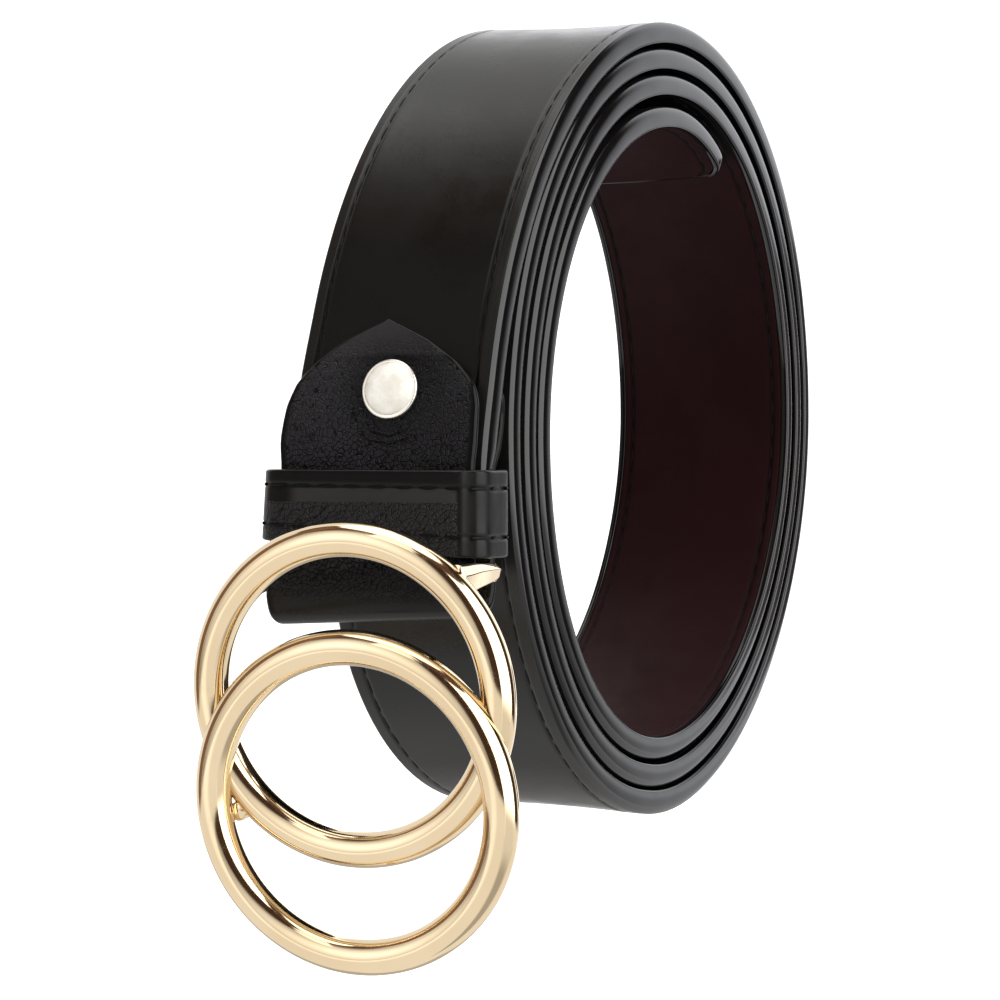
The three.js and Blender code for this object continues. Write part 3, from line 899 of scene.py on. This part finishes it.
tabShape = {
    "rows": [
        (-48.95, 6.4, 0.7, 0.03), (-49.1, 5.6, 0.8, 0.45), (-49.2, 3.8, 0.8, 0.84), (-49.65, 1.1, 0.9, 1),
        (-49.1, -2.3, 1.2, 1), (-49.95, -6, 1.2, 1), (-51.4, -9.4, 1.3, 0.99), (-51.65, -16, 1.3, 0.99),
        (-51.8, -21, 1.3, 1), (-51.85, -25.2, 1.3, 1.03), (-52.9, -27.6, 1.3, 1.03),
        (-55.2, -28.5, 1.3, 1.03), (-57.5, -27.6, 1.3, 1.03), (-58.5, -25.2, 1.3, 1.03),
        (-58.1, -22.4, 1.3, 1.03), (-57.5, -19, 1.3, 0.99), (-57.3, -14, 1.3, 0.99),
        (-57.15, -9, 1.3, 0.99), (-56.95, -5, 1.3, 1.01), (-56.2, -1, 1.3, 1), (-55.35, 2, 1.3, 0.94),
        (-54.35, 5, 1.25, 0.75), (-53.35, 8, 1.1, 0.44), (-52.75, 9.9, 0.9, 0.15), (-52.55, 10.7, 0.7, 0.02),
    ],
    "half": 14.0,
    "thinnest": 0.02,  # least share of the width, at the tips
    "edgeRadius": 0.6,
    "archLean": -1.2,
    "foldShift": -0.3,
    "foldRoll": 0.045,  # how askew the fold hangs
    "foldStarts": (-20, -24),
    "creaseAt": -21.6,
    "creaseSlope": 0.075,
    "creaseWave": (0.7, 5.0),
    "creaseDepth": 0.38,
    "snap": (1.3, 1.0),  # across and up; the snap pulls the leather in round it
    "dimple": (0.7, 5.0),  # depth and radius
    "backDimple": (0.5, 2.6),
    "backDimpleAt": -1.8,
    "leafEnds": -9,  # the keeper begins below
    "steps": 190,
}


def throughPoints(points, t):
    # centripetal curve through the points, at t from 0 to 1, evenly spaced between rows
    span = len(points) - 1
    place = min(max(t, 0.0), 1.0) * span
    low = min(span - 1, int(place))
    w = place - low
    p1, p2 = points[low], points[low + 1]
    p0 = points[low - 1] if low > 0 else 2 * p1 - p2
    p3 = points[low + 2] if low + 2 <= span else 2 * p2 - p1
    d0, d1, d2 = (max(1e-4, np.linalg.norm(step) ** 0.5) for step in (p1 - p0, p2 - p1, p3 - p2))
    m1 = ((p1 - p0) / d0 - (p2 - p0) / (d0 + d1) + (p2 - p1) / d1) * d1
    m2 = ((p2 - p1) / d1 - (p3 - p1) / (d1 + d2) + (p3 - p2) / d2) * d1
    a = 2 * p1 - 2 * p2 + m1 + m2
    b = -3 * p1 + 3 * p2 - 2 * m1 - m2
    return ((a * w + b) * w + m1) * w + p1


tabLine = [np.array(row[:2]) for row in tabShape["rows"]]
tabShare = [np.array((row[3], row[2])) for row in tabShape["rows"]]  # the thickness paces it
tabThickness = [row[2] for row in tabShape["rows"]]


def tabHalf(t):
    return tabShape["half"] * max(tabShape["thinnest"], throughPoints(tabShare, t)[0])


def hollow(across, up, centre, depth, radius):
    away = (across - centre[0]) ** 2 + (up - centre[1]) ** 2
    return depth * np.exp(-away / (2 * radius**2))


def tabPlace(x, deep, t):
    # x from -1 to 1 across, deep in mm from the middle of the leather, arrays allowed
    k = tabShape
    middle = throughPoints(tabLine, t)
    ahead = throughPoints(tabLine, min(1, t + 1e-3)) - throughPoints(tabLine, max(0, t - 1e-3))
    ahead /= np.linalg.norm(ahead)
    # above the keeper y tells the leaves apart: the front one is below -52, the back one above about -51
    inArch = middle[0] < -51.9 and middle[1] > 0
    lean = k["archLean"] * smoothstep(0, 11, middle[1]) if inArch else 0.0
    across = x * tabHalf(t) + lean + k["foldShift"] * smoothstep(*k["foldStarts"], middle[1])
    y = middle[0] + ahead[1] * deep + 0 * across
    z = middle[1] - ahead[0] * deep + 0 * across
    inFront = (y < -54.8) & (z > k["leafEnds"])
    y = y + np.where(inFront, hollow(across, z, k["snap"], *k["dimple"]), 0)
    behind = (y > -51) & (z > k["leafEnds"])
    y = y - np.where(behind, hollow(across, z, (k["snap"][0], k["backDimpleAt"]), *k["backDimple"]), 0)
    wave, waveLength = k["creaseWave"]
    crest = z - k["creaseAt"] - k["creaseSlope"] * across - wave * np.sin(across / waveLength)
    pinch = np.exp(-((crest / 0.9) ** 2)) - 0.7 * np.exp(-(((crest - 2.1) / 1.1) ** 2))
    y = y + np.where(middle[0] < -55, k["creaseDepth"] * pinch * smoothstep(-26, -24, z), 0)
    z = z + across * k["foldRoll"] * smoothstep(*k["foldStarts"], z)
    y = y - (halfWidth - across) * skewAt(z)
    return np.stack([across, y, z], axis=-1)


def tabRing(t):
    # closed section as (across from -1 to 1, depth, painted), with rounded sides
    thick = float(np.interp(t * (len(tabThickness) - 1), range(len(tabThickness)), tabThickness))
    half = tabHalf(t)
    rounding = min(0.5 * thick, tabShape["edgeRadius"], 0.5 * half) / half
    inner = 1 - rounding
    turns = np.linspace(-math.pi / 2, math.pi / 2, 9)
    spots = np.linspace(-1, 1, 41)[1:-1]
    right = [(inner + rounding * math.cos(a), 0.5 * thick * math.sin(a), 1.0) for a in turns]
    left = [(-x, d, m) for x, d, m in reversed(right)]
    top = [(x * inner, 0.5 * thick, 0.0) for x in reversed(spots)]
    bottom = [(x * inner, -0.5 * thick, 0.0) for x in spots]
    return [np.array(column) for column in zip(*(bottom + right + top + left))]


def buildTab(material):
    rows, marks = [], []
    count = tabShape["steps"]
    places = [i / count for i in range(count + 1)]
    for t in places:
        xs, ds, ms = tabRing(t)
        rows.append(tabPlace(xs, ds, t))
        marks.append(ms)
    middles = np.array([throughPoints(tabLine, t) for t in places])
    along = np.append(0, np.cumsum(np.linalg.norm(np.diff(middles, axis=0), axis=1)))
    across = np.append(xs, xs[0]) * tabShape["half"]
    mesh = sweptMesh("buckleTab", toRow(rows), across * mm, along * mm, marks)
    return finishPiece(mesh, "buckleTab", material, "belt", ["buckle_tab"])


# Heights in the tab's leather are in metres from the snap's cap.
tabLook = {
    "shine": 0.15,
    "roughness": 0.28,
    "archStarts": (0.0015, 0.0095),  # the grain is pressed flat towards the arched top, whose colour is lightened there as painted light
    "arch": (0.043, 0.041, 0.044),
    "stretchStarts": (-0.0255, -0.0280),  # and stretched out under the fold
    "stretched": (0.026, 0.0240, 0.0235),
    "handledStarts": (-0.026, -0.020),  # painted shade, darker from these heights down into the fold
    "foldPaintedShading": 0.58,
    "wrinklePitch": 0.00105,
    "wrinkleShake": 0.0022,
    "wrinkleDepth": 1.2,
}


def wrinklesUnder(tree, spread, where, centre):
    # short arcs pressed into the leather below the cap, 1 in the wrinkles, which are darkened there as
    # painted shade, and the share of the colour kept by painted shade round the cap and towards the right
    across = minus(tree, spread["X"], centre[0])
    down = minus(tree, centre[1], spread["Z"])
    squares = [mathNode(tree, "POWER", side, 2.0) for side in (across, down)]
    away = mathNode(tree, "SQRT", plus(tree, *squares))
    shaken = plus(tree, away, times(tree, noise(tree, where, 420.0), tabLook["wrinkleShake"]))
    wave = mathNode(tree, "SINE", times(tree, shaken, 2 * math.pi / tabLook["wrinklePitch"]))
    here = within(tree, away, (0.0048, 0.0056), (0.0066, 0.0082))
    below = between(tree, mathNode(tree, "DIVIDE", down, away), 0.72, 0.93)
    arcs = times(tree, times(tree, between(tree, wave, 0.35, 0.95), here), below)
    handled = between(tree, away, 0.004, 0.0105, 0.62, 1.0)  # painted shade, darker close to the cap where the leather dips
    # painted shade, darker towards the right side
    return arcs, times(tree, handled, between(tree, spread["X"], 0.001, 0.009, 1.0, 0.74))


def tabLeather():
    look = tabLook
    centre = (tabShape["snap"][0] * mm, (tabShape["snap"][1] - pegHeight) * mm)
    material, tree, shader, where, grain, base = grainedLeather("tabLeather", look["shine"])
    spread = separate(tree, where)
    above = {key: [centre[1] + h for h in look[key + "Starts"]] for key in ("arch", "stretch", "handled")}
    arch = between(tree, spread["Z"], *above["arch"])
    stretched = between(tree, spread["Z"], *above["stretch"])
    # painted light: the arched top, which faces up, is lighter
    base = blendColours(tree, arch, base, look["arch"])
    base = blendColours(tree, stretched, base, look["stretched"])
    wrinklesAndShade, handled = wrinklesUnder(tree, spread, where, centre)
    # painted shade, darker down in the fold
    handled = times(tree, handled, between(tree, spread["Z"], *above["handled"], look["foldPaintedShading"], 1.0))
    # painted shade: the colour goes towards near black by the shading share and in the wrinkle arcs
    for share in (minus(tree, 1.0, handled), wrinklesAndShade):
        base = blendColours(tree, share, base, grainLook["dark"])
    grain = flatten(tree, flatten(tree, grain, arch), stretched)
    grain = minus(tree, grain, times(tree, wrinklesAndShade, look["wrinkleDepth"]))
    finishGrain(tree, shader, where, grain, base, look["roughness"])
    return material


buildTab(tabLeather())
print("tab made")

# Keeper: a loop with two sewn lines and a smooth strip between the upper line and the grain

keeperShape = {
    "front": -60.2,
    "back": -49.1,
    "half": 15.95,
    "wall": 1.2,
    "corner": 3.6,
    "creaseAt": 14.3,  # the crease beside the right front corner
    "creaseWidth": 0.6,
    "creaseDepth": 0.5,
    "top": -9.1,
    "bottom": -19.6,
    "slope": -0.07,
    "upperLine": 2.2,  # sewn lines, from the upper and the lower edge
    "lowerLine": 2.5,
    "lineDepth": 0.16,
    "lineWidth": 0.3,
    "bow": 0.35,
    "flare": 0.65,  # how far the far side leans out at its foot
}


def loopPath():
    # rounded rectangle in plan as (x, y, outward x, outward y), with a point about every mm
    k = keeperShape
    corner = k["corner"]
    right, front, back = k["half"] - corner, k["front"] + corner, k["back"] - corner
    spots = []
    for cx, cy, begin in ((right, front, -90), (right, back, 0), (-right, back, 90), (-right, front, 180)):
        for i in range(9):
            a = math.radians(begin + i * 90 / 8)
            spots.append((cx + corner * math.cos(a), cy + corner * math.sin(a), math.cos(a), math.sin(a)))
    full = []
    for here, after in zip(spots, spots[1:] + spots[:1]):
        parts = max(1, round(math.dist(here[:2], after[:2])))
        full += [[h + (a - h) * j / parts for h, a in zip(here, after)] for j in range(parts)]
    return np.array(full)


def keeperPlace(spot, lift, share):
    # a spot of the path pushed out by lift; share 0 at the bottom edge and 1 at the top
    k = keeperShape
    x, y = spot[0] + spot[2] * lift, spot[1] + spot[3] * lift
    x -= k["flare"] * (1 - share) * max(0.0, -x / k["half"]) ** 2
    if spot[1] < -55:
        y -= k["bow"] * (1 - (x / k["half"]) ** 2)
    if spot[1] < -57:
        y += k["creaseDepth"] * math.exp(-(((spot[0] - k["creaseAt"]) / k["creaseWidth"]) ** 2))
    low = k["bottom"] + k["slope"] * x
    z = low + (k["top"] - low) * share
    return (x, y - (halfWidth - x) * float(skewAt(z)), z)


def keeperSection(height, lines):
    # closed section as (lift, share of the height, painted): outer face, top edge, back, bottom edge
    k = keeperShape
    wall = k["wall"]
    section = []
    for s in np.linspace(0.035, 0.965, 46):
        dip = sum(math.exp(-(((s - line) * height / k["lineWidth"]) ** 2)) for line in lines)
        section.append((-k["lineDepth"] * dip, s, 0.0))
    edge = [(-0.05, 0.018, 0.6), (-0.25, 0.003, 1), (-0.6, 0.0, 1), (-0.95, 0.003, 1)]
    edge.append((-wall + 0.03, 0.02, 1))
    section += [(lift, 1 - share, mark) for lift, share, mark in edge]
    return section + [(-wall, 0.9, 0), (-wall, 0.1, 0)] + edge[::-1]


def buildKeeper(material):
    k = keeperShape
    path = loopPath()
    height = k["top"] - k["bottom"]
    lines = (1 - k["upperLine"] / height, k["lowerLine"] / height)
    section = keeperSection(height, lines)
    rows = [[keeperPlace(spot, lift, share) for lift, share, mark in section] for spot in path]
    marks = [[mark for lift, share, mark in section]] * len(path)
    ring = np.vstack([path, path[:1]])
    along = np.append(0, np.cumsum(np.linalg.norm(np.diff(ring[:, :2], axis=0), axis=1)))
    shares = np.array([share for lift, share, mark in section + section[:1]])
    mesh = sweptMesh("keeperLoop", toRow(rows), shares * height * mm, along * mm, marks, True)
    finishPiece(mesh, "keeperLoop", material, "belt", ["keeper"])
    guides = []
    for share in lines:
        here, out = (np.array([keeperPlace(spot, lift, share) for spot in ring]) for lift in (-0.12, 0.88))
        guides.append((toRow(here), out - here))
    mesh = stitches("keeperStitches", guides, blackThread, radius=0.24, seed=11)
    finishPiece(mesh, "keeperStitches", None, "belt")


# Places in the keeper's leather are in mm.
keeperLook = {
    "shine": 0.24,
    "roughness": 0.36,
    "strip": (0.040, 0.0385, 0.038),
    "stripFrom": 4.15,  # from the top edge down
    "stripTo": 2.5,
    "stripStarts": (-11.5, -9.5),  # across, as the next one
    "turnStarts": (12.6, 13.2),
    "plain": (0.0045, 0.0040, 0.0040),
    "fade": 0.2,
}


def keeperLeather():
    # pressed flat and dark above the grain and round the right side, with a lighter strip in front
    look = keeperLook
    fade = look["fade"] * mm
    top = keeperShape["top"] - pegHeight
    stripLow, stripTop = ((top - look[key]) * mm for key in ("stripFrom", "stripTo"))
    material, tree, shader, where, grain, base = grainedLeather("keeperLeather", look["shine"])
    spread = separate(tree, where)
    above = between(tree, spread["Z"], stripLow - fade, stripLow)
    side = between(tree, spread["X"], *(x * mm for x in look["turnStarts"]))
    flat = mathNode(tree, "MAXIMUM", above, side)
    strip = within(tree, spread["Z"], (stripLow - fade, stripLow), (stripTop, stripTop + fade))
    strip = flatten(tree, strip, side)
    strip = times(tree, strip, between(tree, spread["X"], *(x * mm for x in look["stripStarts"])))
    base = blendColours(tree, flat, base, look["plain"])
    base = blendColours(tree, strip, base, look["strip"])
    finishGrain(tree, shader, where, flatten(tree, grain, flat), base, look["roughness"])
    return material


buildKeeper(keeperLeather())
print("keeper made")

# Snap: domed cap with a polished rim, and the hidden post and disc behind it

snapShape = {
    "centre": (1.3, -54.2, 1.0),
    "tilt": 10.0,
    "turn": 3.0,
    "foot": 2.2,
    "radius": 4.0,
    "rim": 0.7,
    "rimWidth": 0.5,
    "height": 1.5,
    "postRadius": 1.3,
    "postShort": 0.3,
    "discRadius": 2.2,
    "discAt": -5.7,
    "discThick": 0.4,
    "sides": 64,
    "postSides": 40,
}


def snapMatrix():
    k = snapShape
    x, y, z = k["centre"]
    y -= halfWidth * float(skewAt(z))
    tilt, turn = math.radians(k["tilt"]), math.radians(k["turn"])
    axis = Vector((math.sin(turn), -math.cos(turn) * math.cos(tilt), math.sin(tilt))).normalized()
    place = Matrix.Translation(Vector((x, y, z - pegHeight)) * mm)
    return place @ axis.to_track_quat("Z", "Y").to_matrix().to_4x4() @ Matrix.Scale(mm, 4)


def buildSnap():
    k = snapShape
    r, rim, foot, place = k["radius"], k["rim"], k["foot"], snapMatrix()
    profile = [(0, 0), (r - 0.3, 0), (r - 0.12, 0.05), (r, 0.2), (r, rim - 0.25)]
    profile += [(r - 0.08, rim - 0.08), (r - 0.25, rim), (r - 0.42, rim - 0.03), (r - 0.52, rim + 0.02)]
    for i in range(1, 8):
        a = i / 8 * math.pi / 2
        profile.append(((r - 0.52) * math.cos(a), rim + (k["height"] - rim) * math.sin(a)))
    profile = [(a, b + foot) for a, b in profile + [(0, k["height"])]]
    mesh = turnedMesh("snapCap", profile, k["sides"], place)
    finishPiece(mesh, "snapCap", pearlEnamel(), "belt", ["snap_cap"])
    mesh.materials.append(rimMetal)
    inverse = place.inverted()
    for polygon in mesh.polygons:
        middle = inverse @ polygon.center
        if math.hypot(middle.x, middle.y) > r - k["rimWidth"]:
            polygon.material_index = 1
    disc, wide, post, end = k["discAt"], k["discRadius"], k["postRadius"], foot - k["postShort"]
    back = [(0, disc - k["discThick"]), (wide - 0.12, disc - k["discThick"]), (wide, disc - 0.3)]
    back += [(wide, disc - 0.1), (wide - 0.1, disc), (post + 0.1, disc), (post, disc + 0.1)]
    back += [(post, end - 0.05), (post - 0.1, end), (0, end)]
    mesh = turnedMesh("snapBack", back, k["postSides"], place)
    finishPiece(mesh, "snapBack", steel("plainSteel", steelLook), "belt", ["snap_back"])


buildSnap()
print("snap made")

# Buckle: two rings, lugs, bar, closing stud and knob, one casting, in mm from the bar

buckleShape = {
    "bar": (0.0, -56.2, -23.3),
    "yaw": 4.85,
    "roll": -3.0,
    "tilt": 6.4,
    "ringRadius": 20.4,
    "ringSteps": 180,
    "tube": 2.35,
    "tubeSteps": 40,
    "reach": 12.1,
    "rise": 13.68,
    "shift": -0.6,
    "drop": 13.7,  # from the upper ring's centre down to the lower one's, and forward
    "forward": 2.3,
    "barRadius": 1.2,
    "lugInner": 15.3,
    "lugThick": 2.1,
    "lugSteps": 36,
    # forward to back, low edge, high edge
    "lugRows": [
        (-12.1, -1.3, 2.8), (-9.5, -1.2, 2.5), (-7.0, -1.05, 2.3), (-4.0, -0.95, 1.9), (-1.3, -0.8, 1.4),
        (0.2, -0.5, 0.9), (0.9, -0.2, 0.4),
    ],
    # as shares of the thickness and the height; the outer side gets wider upwards
    "lugSection": [
        (0, 0.12), (0.04, 0.05), (0.12, 0.01), (0.3, 0), (0.7, 0), (0.81, 0.01), (0.84, 0.03), (0.85, 0.07),
        (0.99, 0.60), (1, 0.64), (0.985, 0.67), (0.79, 0.91), (0.72, 0.95), (0.55, 0.99), (0.35, 1),
        (0.15, 0.98), (0.03, 0.92), (0, 0.84), (0, 0.45),
    ],
    "tipTaper": 0.35,
    "tipStarts": (-0.6, 1.0),
    "droopStarts": (0, -12),
    "droop": (0.5, 3.2, 0.4),  # of the low edge, of the high edge, and outwards
    "stud": [
        (0, -1.4), (1.1, -1.4), (1.1, 2.3), (1.2, 2.5), (1.6, 2.8), (1.7, 3.0), (1.7, 3.4), (1.5, 3.7),
        (1.0, 3.8), (0, 3.82),
    ],
    "knob": [(0, -2.1), (1.0, -2.1), (1.3, -1.8), (1.3, 1.8), (1.0, 2.1), (0, 2.1)],
    "knobAt": (-17.6, 0.6, -14.8),  # from the upper ring's centre
    "sides": 32,
    "knobSides": 28,
}
ringSockets = [
    ("Ring Radius", "Float"),
    ("Tube Radius", "Float"),
    ("Ring Steps", "Int"),
    ("Tube Steps", "Int"),
    ("Metal", "Material"),
]


def rotation(degrees, axis):
    return Matrix.Rotation(math.radians(degrees), 4, axis)


def buckleMatrix():
    k = buckleShape
    x, y, z = k["bar"]
    turn = rotation(k["yaw"], "Z") @ rotation(k["roll"], "Y") @ rotation(k["tilt"], "X")
    return Matrix.Translation(Vector((x, y, z - pegHeight)) * mm) @ turn @ Matrix.Scale(mm, 4)


def ringTree():
    tree, take = newTree("ringPair", "Points", ringSockets, "Rings")
    circle, tube = (
        addNode(tree, "GeometryNodeCurvePrimitiveCircle", {"Resolution": take[steps], "Radius": take[radius]})
        for steps, radius in (("Ring Steps", "Ring Radius"), ("Tube Steps", "Tube Radius"))
    )
    ring = {"Curve": circle.outputs[0], "Profile Curve": tube.outputs[0]}
    ring = addNode(tree, "GeometryNodeCurveToMesh", ring)
    upright = {"Geometry": ring.outputs[0], "Rotation": Euler((math.pi / 2, 0, 0))}
    upright = addNode(tree, "GeometryNodeTransform", upright)
    return placeShapes(tree, take["Metal"], {"Points": take["Points"], "Instance": upright.outputs[0]})


def lugMesh(side):
    # the left lug droops towards the ring, so that the ring hides its end
    k = buckleShape
    steps, section = k["lugSteps"], k["lugSection"]
    spots = [np.array(row, float) for row in k["lugRows"]]
    made = []
    for i in range(steps + 1):
        y, low, high = throughPoints(spots, i / steps)
        droop = float(smoothstep(*k["droopStarts"], y)) if side < 0 else 0.0
        down, slump, outward = (droop * amount for amount in k["droop"])
        low, high = low - down, high - slump
        tip = 1 - k["tipTaper"] * smoothstep(*k["tipStarts"], y)
        ring = []
        for across, up in section:
            x = k["lugInner"] + k["lugThick"] * (0.5 + (across - 0.5) * tip) + outward
            ring.append((side * x + k["shift"], y, low + (high - low) * up))
        made.append(ring)
    return sweptMesh("lug", made, np.linspace(0, 1, len(section) + 1), np.linspace(0, 1, steps + 1))


def buildBuckle():
    k = buckleShape
    centres = [
        (k["shift"], -k["reach"], -k["rise"]),
        (k["shift"], -k["reach"] - k["forward"], -k["rise"] - k["drop"]),
    ]
    mesh = bpy.data.meshes.new("ringCentres")
    mesh.from_pydata(centres, [], [])
    values = {"Ring Radius": k["ringRadius"], "Tube Radius": k["tube"], "Metal": gold}
    values.update({"Ring Steps": k["ringSteps"], "Tube Steps": k["tubeSteps"]})
    rings = faceOut(bakeTree("rings", newObject("ringCentres", mesh), ringTree(), values))
    length, r = k["lugInner"] + 0.5 * k["lugThick"], k["barRadius"]
    sideways = Matrix.Translation((k["shift"], 0, 0)) @ rotation(90, "Y")
    bar = turnedMesh("bar", [(0, -length), (r, -length), (r, length), (0, length)], k["sides"], sideways)
    x, y, z = centres[1]
    studAt = Matrix.Translation((x, y + k["tube"], z - k["ringRadius"] - 1)) @ rotation(-90, "X")
    stud = turnedMesh("stud", k["stud"], k["sides"], studAt)
    knobAt = Matrix.Translation([c + k["knobAt"][i] for i, c in enumerate(centres[0])]) @ rotation(90, "X")
    knob = turnedMesh("knob", k["knob"], k["knobSides"], knobAt)
    casting = joinMeshes("buckleRings", [rings, lugMesh(1), lugMesh(-1), bar, stud, knob])
    casting.transform(buckleMatrix())
    finishPiece(casting, "buckleRings", gold, "buckle", ["buckle_rings"])


buildBuckle()
print("buckle made")

# Camera, floor and light

viewShape = {
    "azimuth": 27.47,
    "elevation": 1.16,
    "distance": 0.51394,
    "lens": 126.64,
    "sensor": 36.0,
    "target": (-0.00940, -0.00521, -0.05359),
}
stageShape = {
    "height": -0.26,
    "radius": 1.5,
    "bend": 0.35,
    "wallHeights": (0.6, 1.1, 1.7),
    "sides": 64,
    "colour": (0.5, 0.5, 0.5, 1),
    "glow": 0.95,
}


def direction(azimuth, elevation):  # degrees, azimuth from the front towards the right
    a, e = math.radians(azimuth), math.radians(elevation)
    return Vector((math.sin(a) * math.cos(e), -math.cos(a) * math.cos(e), math.sin(e)))


def makeCamera():
    k = viewShape
    lens = bpy.data.cameras.new("camera")
    lens.sensor_width, lens.lens = k["sensor"], k["lens"]
    lens.clip_start, lens.clip_end = 0.01, 30.0
    back = direction(k["azimuth"], k["elevation"])
    camera = newObject("camera", lens)
    camera.location = Vector(k["target"]) + back * k["distance"]
    camera.rotation_euler = (-back).to_track_quat("-Z", "Y").to_euler()
    bpy.context.scene.camera = camera


def makeStage():
    k = stageShape
    low, radius, bend, count = k["height"], k["radius"], k["bend"], k["sides"]
    profile = [(r, low) for r in np.linspace(0.05, radius - bend, 8)]
    for a in np.linspace(0.15, math.pi / 2, 10):
        profile.append((radius - bend + bend * math.sin(a), low + bend - bend * math.cos(a)))
    profile += [(radius, low + h) for h in k["wallHeights"]]
    points = [(0, 0, low)]
    for r, z in profile:
        points += circlePoints(r, z, count)
    faces = [(0, 1 + i, 1 + (i + 1) % count) for i in range(count)]
    for ring in range(len(profile) - 1):
        a, b = 1 + ring * count, 1 + (ring + 1) * count
        for i in range(count):
            j = (i + 1) % count
            faces.append((a + i, b + i, b + j, a + j))
    mesh = bpy.data.meshes.new("floor")
    mesh.from_pydata(points, [], faces)
    mesh.shade_smooth()
    matte = {"Base_Color": k["colour"], "Roughness": 0.9, "Specular_IOR_Level": 0.0}
    glow = {"Emission_Color": (1, 1, 1, 1), "Emission_Strength": k["glow"]}
    mesh.materials.append(newMaterial("paleFloor", **matte, **glow)[0])
    floor = newObject("floor", mesh)
    floor.visible_diffuse = False  # the studio light below already holds what a pale floor gives back
    floor.visible_glossy = floor.visible_transmission = floor.visible_shadow = False


# Panels round the object, in degrees: azimuth from the front towards the right, then elevation,
# colour, and where it isn't the usual softness, how soft the sides and the top and bottom are
studio = {
    "walls": (0.95, 0.95, 0.95),
    "softness": 3.0,
    "panels": [
        ("floor", (-400, 400), (-120, -14), (1.0, 0.99, 0.98)),
        ("floorBack", (-178, -112), (-62, -14), (0.55, 0.54, 0.53)),
        ("floorRight", (54, 120), (-110, -20), (0.5, 0.49, 0.48), 20.0, 12.0),
        ("leftBack", (-150, -100), (-14, 62), (0.98, 0.97, 0.96)),
        ("backdropRight", (146, 200), (-8, 62), (1.7, 1.72, 1.78)),
        ("lowRight", (146, 200), (-20, -8), (1.05, 1.06, 1.09)),
        ("backdropLeft", (-200, -150), (-16, 62), (2.05, 2.06, 2.12)),
        ("roof", (-400, 400), (62, 120), (2.3, 2.28, 2.25)),
        ("gapOverhead", (-100, 160), (47, 65.5), (0.12, 0.07, 0.05)),
        ("gapLeft", (-88, -58), (-14, 62), (0.24, 0.14, 0.09)),
        ("gapRight", (100, 150), (-14, 60), (0.04, 0.03, 0.03), 20.0, 3.0),
        ("gapBehind", (157.5, 173), (-6, 4.6), (0.10, 0.08, 0.07)),
        ("leftFront", (-56, 14), (-13, 49), (0.26, 0.255, 0.25)),
        ("roofFront", (-14, 22), (44, 70), (1.5, 1.5, 1.46)),
        ("camera", (14, 51), (-13, 52), (0.06, 0.035, 0.025)),
        ("right", (51, 118), (-26, 50), (3.2, 3.2, 3.16)),
        ("rightLow", (51, 118), (-36, -12), (0.9, 0.89, 0.88), 3.0, 14.0),
    ],
}


def makeWorld():
    world = bpy.data.worlds.new("studio")
    bpy.context.scene.world = world
    world.use_nodes = True
    tree = world.node_tree
    parts = separate(tree, addNode(tree, "ShaderNodeTexCoord").outputs["Generated"])
    turned = mathNode(tree, "ARCTAN2", parts["X"], times(tree, parts["Y"], -1.0))
    azimuth = mathNode(tree, "DEGREES", turned)
    elevation = mathNode(tree, "DEGREES", mathNode(tree, "ARCSINE", parts["Z"]))
    colour = studio["walls"]
    for name, sides, heights, tint, *fades in studio["panels"]:
        wide, tall = fades or (studio["softness"], studio["softness"])
        inside = []
        for angle, edges, fade in ((azimuth, sides, wide), (elevation, heights, tall)):
            inside.append(within(tree, angle, *((edge - fade / 2, edge + fade / 2) for edge in edges)))
        colour = blendColours(tree, times(tree, *inside), colour, tint)
        colour.node.label = name
    background = tree.nodes["Background"]
    tree.links.new(colour, background.inputs["Color"])
    background.inputs["Strength"].default_value = 1.0


metalLight = {
    "azimuth": -21.0,
    "elevation": 18.0,
    "distance": 1.2,
    "aim": (0, -0.07, -0.09),
    "size": 2.16,
    "spread": 84.0,
    "radiance": 1.6,
    "pieces": ("buckleRings", "snapCap"),
}


def makeMetalLight():
    # a soft panel at the left front; a flag keeps it off the leather, so it shines on the metal alone
    k = metalLight
    light = bpy.data.lights.new("metalSoftbox", "AREA")
    light.shape, light.size, light.spread = "DISK", k["size"], math.radians(k["spread"])
    half = light.spread / 2
    grid = (math.tan(half) - half) / math.tan(half)  # share of the light that passes a soft-box grid
    light.energy = k["radiance"] * math.pi * math.pi * (k["size"] / 2) ** 2 * grid
    back = direction(k["azimuth"], k["elevation"])
    lamp = newObject("metalSoftbox", light)
    lamp.location = Vector(k["aim"]) + back * k["distance"]
    lamp.rotation_euler = back.to_track_quat("Z", "Y").to_euler()
    group = bpy.data.collections.new("metalPieces")
    for piece in k["pieces"]:
        group.objects.link(bpy.data.objects[piece])
    lamp.light_linking.receiver_collection = group
    lamp.visible_camera = False


makeCamera()
makeStage()
makeWorld()
makeMetalLight()
bpy.context.scene.view_settings.view_transform = "Standard"
print("camera and light set")
